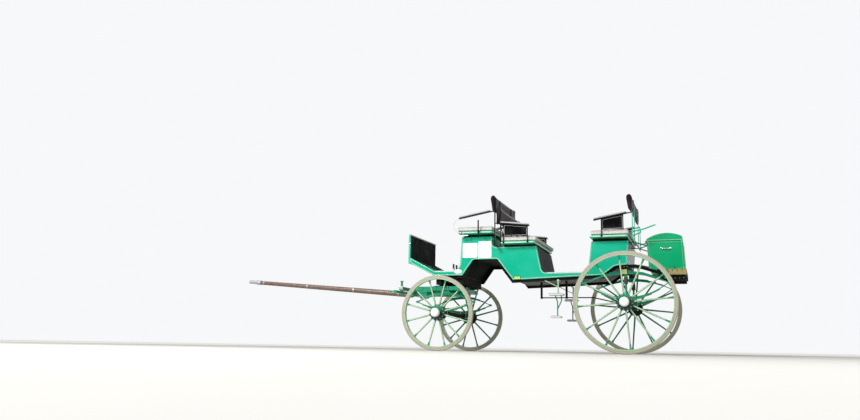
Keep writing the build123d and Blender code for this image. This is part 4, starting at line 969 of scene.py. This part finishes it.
# Plates: two blank white plates and an oval badge on each side, two kinds of reflector (stations, then
# heights; for the badge its station, height, half length and half height)
plate = {"rects": ((0.249, 0.441, 1.142, 1.325), (0.452, 0.619, 1.136, 1.344)), "corner": 0.012,
         "proud": 0.0036, "screw": 0.0036, "screwInset": 0.014, "oval": (0.190, 0.972, 0.052, 0.028),
         "ovalProud": 0.007, "lime": (0.905, 0.978, 0.868, 0.900), "amber": (2.166, 2.238, 0.904, 0.962),
         "hanger": 0.986, "lens": 0.007, "bezel": 0.003}


# A plate: its rounded outline carried in through a bevel to a flat face, standing off the body
def slab(low, high, corner, start, end, way, bevel=0.0008):
    line = rectangle(low, high, corner, 7)
    inner = inset(line, bevel)
    rows = [sideways(line, way * start), sideways(line, way * (end - bevel)), sideways(inner, way * end)]
    count = len(line)
    faces = gridFaces(3, count, False, True)
    return np.concatenate(rows), faces + [list(range(count))[::-1], list(range(2 * count, 3 * count))]


base = face - 0.001
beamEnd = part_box("chassis_beams")[1].y
whites, ovals, limes, ambers, bezels = [], [], [], [], []
for way in sides.values():
    for x0, x1, z0, z1 in plate["rects"]:
        low, high = (aft(x0), z0), (aft(x1), z1)
        whites.append(slab(low, high, plate["corner"], base, face + plate["proud"], way))
        margin = plate["screwInset"]
        for x in (low[0] + margin, high[0] - margin):
            for z in (z0 + margin, z1 - margin):
                screws.append(((x, way * (face + 0.0034), z), (0, way, 0), plate["screw"]))
    x, z, long, tall = plate["oval"]
    dome = lambda u, v, way=way: (
        aft(x) + long * np.cos(2 * pi * u) * np.sin(v * pi / 2),
        way * (base + plate["ovalProud"] * np.cos(v * pi / 2) ** 0.7),
        z + tall * np.sin(2 * pi * u) * np.sin(v * pi / 2))
    ovals.append(surface(dome, 40, 9, True, False))
    rim = plate["bezel"]
    x0, x1, z0, z1 = plate["lime"]
    limes.append(slab((aft(x0), z0), (aft(x1), z1), 0.006, base, face + plate["lens"], way, 0.002))
    low, high = (aft(x0) - rim, z0 - rim), (aft(x1) + rim, z1 + rim)
    bezels.append(slab(low, high, 0.008, base, face + 0.004, way))
    x0, x1, z0, z1 = plate["amber"]
    ambers.append(slab((aft(x0), z0), (aft(x1), z1), 0.004, beamEnd + 0.002, beamEnd + 0.010, way, 0.002))
    low, high = (aft(x0) - rim, z0 - rim), (aft(x1) + rim, plate["hanger"])
    bezels.append(slab(low, high, 0.005, beamEnd - 0.0005, beamEnd + rim, way))
piece("blankPlates", "carriage", "cap_paint", finishes["plate"], *whites)
piece("ovalBadges", "carriage", "cap_paint", finishes["plate"], *ovals)
piece("limeReflectors", "carriage", "cap_paint", finishes["lime"], *limes)
piece("amberReflectors", "carriage", "cap_paint", finishes["amber"], *ambers)
piece("reflectorBezels", "carriage", "under_paint", finishes["black"], *bezels)
print("body trimmed")

# Seat boards: a pale half-round bead round each board's edge, a painted highlight for the sunlit edge; a tan
# strip below the rear one's bead and a bright strip that hangs on brackets below the front one (stations,
# heights)
board = {"corner": 0.028, "bead": 0.009, "proud": 0.003, "drop": 0.0115, "face": 0.585,
         "tan": (1.958, 2.226, 1.3375, 1.3435), "bright": (0.232, 0.344, 1.404, 1.417), "hanger": 1.431}
edgeHighlights = []
for name in ("front", "middle", "rear"):
    low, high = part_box(f"seat_board_{name}")
    plan = rectangle(low, high, board["corner"], 9)
    path = np.column_stack([plan, np.full(len(plan), high.z - board["drop"])])
    edgeHighlights.append(carry(path, moulding(board["bead"], board["proud"])[:, ::-1], closed=True))
# painted highlight: the mint beads stand in for the sunlit edges of the boards
piece("boardEdgeHighlights", "carriage", "body_paint", finishes["mint"], *edgeHighlights)
x0, x1, z0, z1 = board["tan"]
face = board["face"]
piece("boardTanStrips", "carriage", "tan_wood", finishes["tan"], *[
    slab((aft(x0), z0), (aft(x1), z1), 0.002, face - 0.001, face + 0.003, way) for way in sides.values()])
x0, x1, z0, z1 = board["bright"]
piece("boardBrightStrips", "carriage", "bright_steel", finishes["sill"], *[
    slab((aft(x0), z0), (aft(x1), z1), 0.003, face - 0.007, face - 0.004, way) for way in sides.values()])
piece("boardBrackets", "carriage", "under_paint", finishes["black"], *[
    slab((aft(x), z0 + 0.002), (aft(x) + 0.012, board["hanger"]), 0.002, face - 0.012, face - 0.007, way)
    for way in sides.values() for x in (x0 + 0.012, x1 - 0.024)])

# Dash: pale strips up both ends, a panel moulding ahead, a nailed binding round the lining, and a stud
# on each end (station, side, height, radius)
dash = {"strip": 0.004, "proud": 0.003, "margin": 0.036, "line": 0.005, "bind": 0.007, "bindProud": 0.0025,
        "nailPitch": 0.038, "nail": 0.0036, "stud": (-0.458, 0.490, 1.345, 0.007)}
low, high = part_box("dashboard")
middleX = (low.x + high.x) / 2
edges = [carry([(middleX, way * high.y, low.z + 0.004), (middleX, way * high.y, high.z - 0.002)],
               moulding(dash["strip"], dash["proud"]), (0, way, 0)) for way in sides.values()]


def upright(x, halfY, z0, z1, corner=0.012):        # a rounded rectangle across the carriage, at this X
    line = rectangle((-halfY, z0), (halfY, z1), corner, 6)
    return np.column_stack([np.full(len(line), x), line])


m = dash["margin"]
ring = upright(low.x, high.y - m, low.z + m, high.z - m)
edges.append(carry(ring, moulding(dash["line"], dash["proud"]), (-1, 0, 0), True))
piece("dashEdging", "carriage", "body_paint", finishes["line"], *edges)
low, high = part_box("dash_lining")
ring = upright(high.x, high.y - dash["bind"], low.z + dash["bind"], high.z - dash["bind"], 0.008)
piece("liningBinding", "carriage", "dark_leather", finishes["panel"],
      carry(ring, moulding(dash["bind"], dash["bindProud"]), (1, 0, 0), True))
studs = []
wide, tall = high.y - dash["bind"], (high.z - low.z) / 2 - dash["bind"]
dome = [(1, 0), (0.9, 0.35), (0.6, 0.62), (0, 0.75)]
for y in np.linspace(-wide, wide, round(2 * wide / dash["nailPitch"]) + 1):
    studs += [(y, low.z + dash["bind"]), (y, high.z - dash["bind"])]
for z in np.linspace(-tall, tall, round(2 * tall / dash["nailPitch"]) + 1)[1:-1]:
    studs += [(-wide, (low.z + high.z) / 2 + z), (wide, (low.z + high.z) / 2 + z)]
nailX = high.x + dash["bindProud"] - 0.0006
piece("liningNails", "carriage", "bright_steel", finishes["bolt"], *[
    lathe(np.array(dome) * dash["nail"], (nailX, y, z), (1, 0, 0), 10) for y, z in studs])
x, y, z, r = dash["stud"]
profile = [(r, -0.001), (r, 0.002), (r * 0.7, 0.005), (0, 0.006)]
piece("dashStuds", "carriage", "bright_steel", finishes["chrome"], *[
    lathe(profile, (aft(x), way * y, z), (0, way, 0), 24) for way in sides.values()])
print("boards and dash trimmed")

# Boot: coach lines on its four faces, a rim bead on the lid, drop handles (stations and height) and a
# lock (half its width, its low and high edge, the barrel's height)
boot = {"profile": ((2.474, 0.966), (2.869, 0.966), (2.856, 1.296), (2.458, 1.296)), "half": 0.425,
        "inset": 0.016, "line": 0.005, "proud": 0.0022, "lidHalf": 0.433, "lidLine": (2.466, 2.848, 1.3035),
        "lidBead": (0.0035, 0.002), "handle": (2.608, 2.731, 1.210), "grip": 0.0055, "drop": 0.020,
        "gripInset": 0.012,
        "rose": ((0.011, 0), (0.011, 0.0015), (0.009, 0.003), (0.0065, 0.0045), (0, 0.005)),
        "lock": (0.024, 1.238, 1.282, 1.262), "lockRise": 0.0045, "lockShare": 0.9,
        "barrel": ((0.008, 0), (0.008, 0.0035), (0.0065, 0.005), (0, 0.0055))}
profile = np.array([(aft(x), z) for x, z in boot["profile"]])
ring = inset(rounded([(x, z, 0.008) for x, z in profile], 5), boot["inset"])
half, d = boot["half"], boot["inset"]
section = moulding(boot["line"], boot["proud"])
strips = [carry(sideways(ring, way * half), section, (0, way, 0), True) for way in sides.values()]
for (x0, z0), (x1, z1), way in ((profile[0], profile[3], -1), (profile[1], profile[2], 1)):
    ring = upright(0, half - d, z0 + d, z1 - 2 * d, 0.008)
    ring[:, 0] = x0 + (x1 - x0) * (ring[:, 2] - z0) / (z1 - z0)
    normal = np.array([z1 - z0, 0, x0 - x1]) * way
    strips.append(carry(ring, section, normal / np.linalg.norm(normal), True))
piece("bootLines", "carriage", "body_paint", finishes["line"], *strips)
x0, x1, z = boot["lidLine"]
lidY, section = boot["lidHalf"], moulding(*boot["lidBead"])
piece("lidBeads", "boot_lid", "body_paint", finishes["line"], *[
    carry([(aft(x0), way * lidY, z), (aft(x1), way * lidY, z)], section, (0, way, 0))
    for way in sides.values()])
grips, roses = [], []
x0, x1, z = boot["handle"]
x0, x1 = aft(x0) + boot["gripInset"], aft(x1) - boot["gripInset"]
for way in sides.values():
    turn = np.linspace(0, pi, 21)
    out = boot["drop"] * np.sin(turn) ** 0.45
    xs = x0 + (x1 - x0) * (1 - np.cos(turn)) / 2
    path = np.column_stack([xs, way * (half + 0.002 + out), z - 0.35 * out])
    grips.append(carry(path, ringProfile(boot["grip"], boot["grip"], 10)))
    roses += [lathe(boot["rose"], (x, way * (half - 0.0005), z), (0, way, 0), 20) for x in (x0, x1)]
lockX = float(profile[1][0] + (profile[2][0] - profile[1][0]) * boot["lockShare"])
lockY, z0, z1, z = boot["lock"]
lockFace = lockX + boot["lockRise"]
lockPlate = block((lockX - 0.001, -lockY, z0), (lockFace, lockY, z1))
roses.append(lathe(boot["barrel"], (lockFace, 0, z), (1, 0, 0), 18))
piece("bootHandles", "carriage", "bright_steel", finishes["chrome"], *grips, *roses)
piece("bootLock", "carriage", "bright_steel", finishes["bolt"], lockPlate, smooth=False, bevel=0.0012)
print("boot trimmed")

# Running gear: U-bolts over the springs. Station, side, spacings along and across, low and high ends
saddles = {"frontAxle": (0.0, 0.400, 0.036, 0.030, 0.424, 0.526, "fore_carriage"),
           "frontFrame": (0.0, 0.400, 0.036, 0.030, 0.742, 0.800, "fore_carriage"),
           "rearAxle": (2.220, 0.516, 0.042, 0.030, 0.540, 0.648, "carriage"),
           "rearBeam": (2.220, 0.516, 0.016, 0.014, 0.950, 0.996, "carriage")}
saddle = {"radius": 0.0045, "nut": 0.0085, "plate": 0.005, "margin": 0.002, "inset": 0.010, "sunk": 0.004}
gear = {"fore_carriage": [[], []], "carriage": [[], []]}
for station, sideY, alongX, acrossY, z0, z1, body in saddles.values():
    rods, plates = gear[body]
    for way in sides.values():
        for dx in (-alongX, alongX):
            for dy in (-acrossY, acrossY):
                x, y = aft(station) + dx, way * sideY + dy
                r, nut, sunk = saddle["radius"], saddle["nut"], saddle["sunk"]
                rods.append(lathe([(0, z0), (r, z0), (r, z1), (0, z1)], (x, y, 0), (0, 0, 1), 12))
                rods += bolts([((x, y, z0 + sunk), (0, 0, 1), nut), ((x, y, z1 - sunk), (0, 0, -1), nut)])
        for z in (z0 + saddle["inset"], z1 - saddle["inset"]):
            x, y, reach = aft(station), way * sideY, saddle["nut"] + saddle["margin"]
            half = saddle["plate"] / 2
            plates.append(boxAbout(x, y, alongX + reach, acrossY + reach, z - half, z + half))
for body, (rods, plates) in gear.items():
    start = "fore" if body == "fore_carriage" else "body"
    piece(start + "UBolts", body, "gear_paint", finishes["bolt"], *rods)
    piece(start + "SaddlePlates", body, "gear_paint", finishes["gear"], *plates, smooth=False, bevel=0.0012)

# Turntable: bolts through the upper ring
turntable = {"radius": 0.278, "height": 0.8195, "bolt": 0.009, "turns": (15, 360, 30)}
for turn in np.radians(np.arange(*turntable["turns"])):
    x, y = turntable["radius"] * cos(turn), turntable["radius"] * sin(turn)
    screws.append(((aft(0) + x, y, turntable["height"]), (0, 0, 1), turntable["bolt"]))

# Rear axle stops: black bellows between the springs' middles
stops = {"radius": 0.0245, "folds": 5, "depth": 0.0035, "low": 0.796, "high": 0.872,
         "place": (2.220, 0.516)}
along = np.linspace(0, 1, 61)
waves = stops["radius"] - stops["depth"] + stops["depth"] * np.abs(np.sin(along * pi * stops["folds"]))
heights = stops["low"] + along * (stops["high"] - stops["low"])
profile = [(0, stops["low"]), *zip(waves, heights), (0, stops["high"])]
x, y = stops["place"]
piece("axleStops", "carriage", "under_paint", finishes["stop"], *[
    lathe(profile, (aft(x), way * y, 0), (0, 0, 1), 28) for way in sides.values()])

# Wheels: hub bolts, steel hub band (its ends and radii), ferrules on the spokes at the felloe, rim bolts
# (how far above the felloe's inner face and out from the wheel's middle), tyre channel (its two sides,
# and how far it reaches below and above the tyre's foot)
wheel = {"tyreDepth": 0.038, "hubBoltOut": 0.0055, "hubBolts": 0.082, "bolt": 0.0058,
         "band": (0.050, 0.062, 0.0508, 0.0545), "felloeDepth": 0.012, "ferrule": 0.034,
         "ferruleRadii": (0.0105, 0.0140), "ferruleBore": 0.0085, "channel": (0.0222, 0.0240, 0.0015, 0.006),
         "rimBolt": 0.0042, "rimBoltPlace": (0.0055, 0.0228)}
for (end, side), (x, y, z) in hubs.items():
    way = sides[side]
    body = f"wheel_{end}_{side}"
    outer = z - wheel["tyreDepth"]
    inner = outer - wheel["felloeDepth"]
    a, b, r0, r1 = wheel["band"]
    section = [(r0, a), (r1, a + 0.001), (r1, b - 0.002), (r1 - 0.002, b), (r0, b)]
    bright = lathe(section, (x, y, z), (0, way, 0), 48)
    small, large = wheel["ferruleRadii"]
    bore = wheel["ferruleBore"]
    high, low = inner + 0.001, inner - wheel["ferrule"]
    lean = way * spokes["dish"] * (1 - (low + high) / 2 / inner)
    section = [(bore, low), (small, low), (large, high), (bore, high)]
    rimReach, rimSide = wheel["rimBoltPlace"]
    rings = ((wheel["hubBolts"], wheel["hubBoltOut"], wheel["bolt"]),
             (inner + rimReach, rimSide, wheel["rimBolt"]))
    heads, sleeves, lips = [], [], []
    step = 360 / spokes["count"]
    for i in range(spokes["count"]):
        turn = radians(step * i - way * spokes["turn"][end])
        between = turn + radians(step / 2)
        for reach, proud, radius in rings:
            place = (x + reach * cos(between), y + way * proud, z + reach * sin(between))
            heads.append((place, (0, way, 0), radius))
        sleeves.append(lathe(section, (x, y + lean, z), (cos(turn), 0, sin(turn)), 14))
    a, b, under, over = wheel["channel"]
    for face in (-1, 1):
        ring = [(-under, a), (over, a), (over, b), (-under, b), (-under, a)]
        lips.append(lathe([(outer + r, face * h) for r, h in ring], (x, y, z), (0, 1, 0), 96))
    piece(f"hubBand_{end}_{side}", body, "cap_paint", finishes["chrome"], bright)
    piece(f"wheelBolts_{end}_{side}", body, "wheel_paint", finishes["bolt"], *bolts(heads))
    piece(f"wheelFerrules_{end}_{side}", body, "wheel_paint", finishes["gear"], *sleeves)
    piece(f"tyreChannels_{end}_{side}", body, "wheel_paint", finishes["rim"], *lips)
print("running gear trimmed")

# Step treads: ribbed mats, each with four bolts at its corners. Middle station, side, top, length and
# width of each; a rib's inset, half width and rise
treads = {"mats": ((1.426, 0.564, 0.684, 0.170, 0.135), (1.426, 0.578, 0.422, 0.118, 0.115)),
          "margin": 0.010, "thickness": 0.003, "rib": (0.004, 0.003, 0.0025), "pitch": 0.0125,
          "edge": 0.006, "bolt": 0.0042, "boltInset": 0.006}
mats = []
m, (ribInset, ribHalf, ribRise) = treads["margin"], treads["rib"]
for station, sideY, z, long, wide in treads["mats"]:
    for way in sides.values():
        x, y, top = aft(station), way * sideY, z + treads["thickness"]
        mats.append(boxAbout(x, y, long / 2 - m, wide / 2 - m, z - 0.001, top))
        reach = wide / 2 - m - treads["edge"]
        for dy in np.arange(-reach, reach + 0.001, treads["pitch"]):
            mats.append(boxAbout(x, y + dy, long / 2 - m - ribInset, ribHalf, z, top + ribRise))
        boltX, boltY = long / 2 - treads["boltInset"], wide / 2 - treads["boltInset"]
        screws += [((x + dx, y + dy, z), (0, 0, 1), treads["bolt"])
                   for dx in (-boltX, boltX) for dy in (-boltY, boltY)]
piece("stepMats", "carriage", "gear_paint", finishes["tread"], *mats, smooth=False, bevel=0.0008)

# Foot brake: ribbed rubber pads on the faces toward the driver. A rib's rise, half height and inset
pedal = {"ys": (-0.330, -0.200), "face": 0.078, "low": 1.033, "high": 1.085, "half": 0.027, "ribs": 5,
         "pad": 0.005, "rib": (0.003, 0.0028, 0.007)}
pads = []
x, half, low, high = aft(pedal["face"]), pedal["half"], pedal["low"], pedal["high"]
proud, ribHalf, ribInset = pedal["rib"]
for y in pedal["ys"]:
    pads.append(block((x - 0.001, y - half, low), (x + pedal["pad"], y + half, high)))
    for z in np.linspace(low + ribInset, high - ribInset, pedal["ribs"]):
        ends = (x, x + pedal["pad"] + proud), (y - half + proud, y + half - proud), (z - ribHalf, z + ribHalf)
        pads.append(block(*zip(*ends)))
piece("pedalPads", "carriage", "under_paint", finishes["stop"], *pads, smooth=False, bevel=0.0008)

# Pole: steel bands along the tapered shaft, at these shares of its length
pole = {"start": (-0.600, 0.724), "end": (-2.978, 0.9145), "radii": (0.038, 0.027),
        "bands": (0.08, 0.36, 0.66, 0.955), "half": 0.012, "proud": 0.0016}
start = np.array([aft(pole["start"][0]), 0, pole["start"][1]])
finish = np.array([aft(pole["end"][0]), 0, pole["end"][1]])
heading = (finish - start) / np.linalg.norm(finish - start)
bands = []
h, p = pole["half"], pole["proud"]
for share in pole["bands"]:
    here = start + (finish - start) * share
    r = pole["radii"][0] + (pole["radii"][1] - pole["radii"][0]) * share
    bore, chamfer = r - 0.002, r + p * 0.7
    bands.append(lathe([(bore, -h), (chamfer, -h), (r + p, -h + 0.002), (r + p, h - 0.002), (chamfer, h),
                        (bore, h), (bore, -h)], here, heading, 40))
piece("poleBands", "fore_carriage", "bright_steel", finishes["bolt"], *bands)

# Splinter bar: a cap on each end (stations, heights, how far it reaches over the bar and past its tip)
splinter = {"x": (-0.569, -0.511), "z": (0.746, 0.790), "over": 0.030, "past": 0.002}
(x0, x1), (z0, z1) = splinter["x"], splinter["z"]
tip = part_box("splinter_bar")[1].y
caps = []
for way in sides.values():
    ends = sorted((way * (tip - splinter["over"]), way * (tip + splinter["past"])))
    caps.append(block((aft(x0), ends[0], z0), (aft(x1), ends[1], z1)))
piece("splinterCaps", "fore_carriage", "gear_paint", finishes["bolt"], *caps,
      smooth=False, bevel=0.006, bevelSteps=3)

# Hand rails: a round knob on each upper end
rail = {"y": 0.585, "back": 0.009, "drop": 0.008,
        "knob": ((0, -0.011), (0.006, -0.0092), (0.0098, -0.005), (0.011, 0), (0.0098, 0.005),
                 (0.006, 0.0092), (0, 0.011))}
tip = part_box("hand_rails")[1]
piece("railKnobs", "carriage", "body_paint", finishes["mint"], *[
    lathe(rail["knob"], (tip.x - rail["back"], way * rail["y"], tip.z - rail["drop"]), (0, 1, 0), 20)
    for way in sides.values()])

# Small heads are screws, larger ones are bolts
screwHead = {"largest": 0.0041,
             "profile": ((1, 0), (0.94, 0.3), (0.7, 0.52), (0.25, 0.6), (0.2, 0.45), (0, 0.42))}
rounds = [spot for spot in screws if spot[2] < screwHead["largest"]]
heads = [spot for spot in screws if spot[2] >= screwHead["largest"]]
piece("screwHeads", "carriage", "bright_steel", finishes["bolt"], *[
    lathe(np.array(screwHead["profile"]) * radius, place, way, 14) for place, way, radius in rounds])
piece("boltHeads", "carriage", "under_paint", finishes["bolt"], *bolts(heads))
print("trim finished")
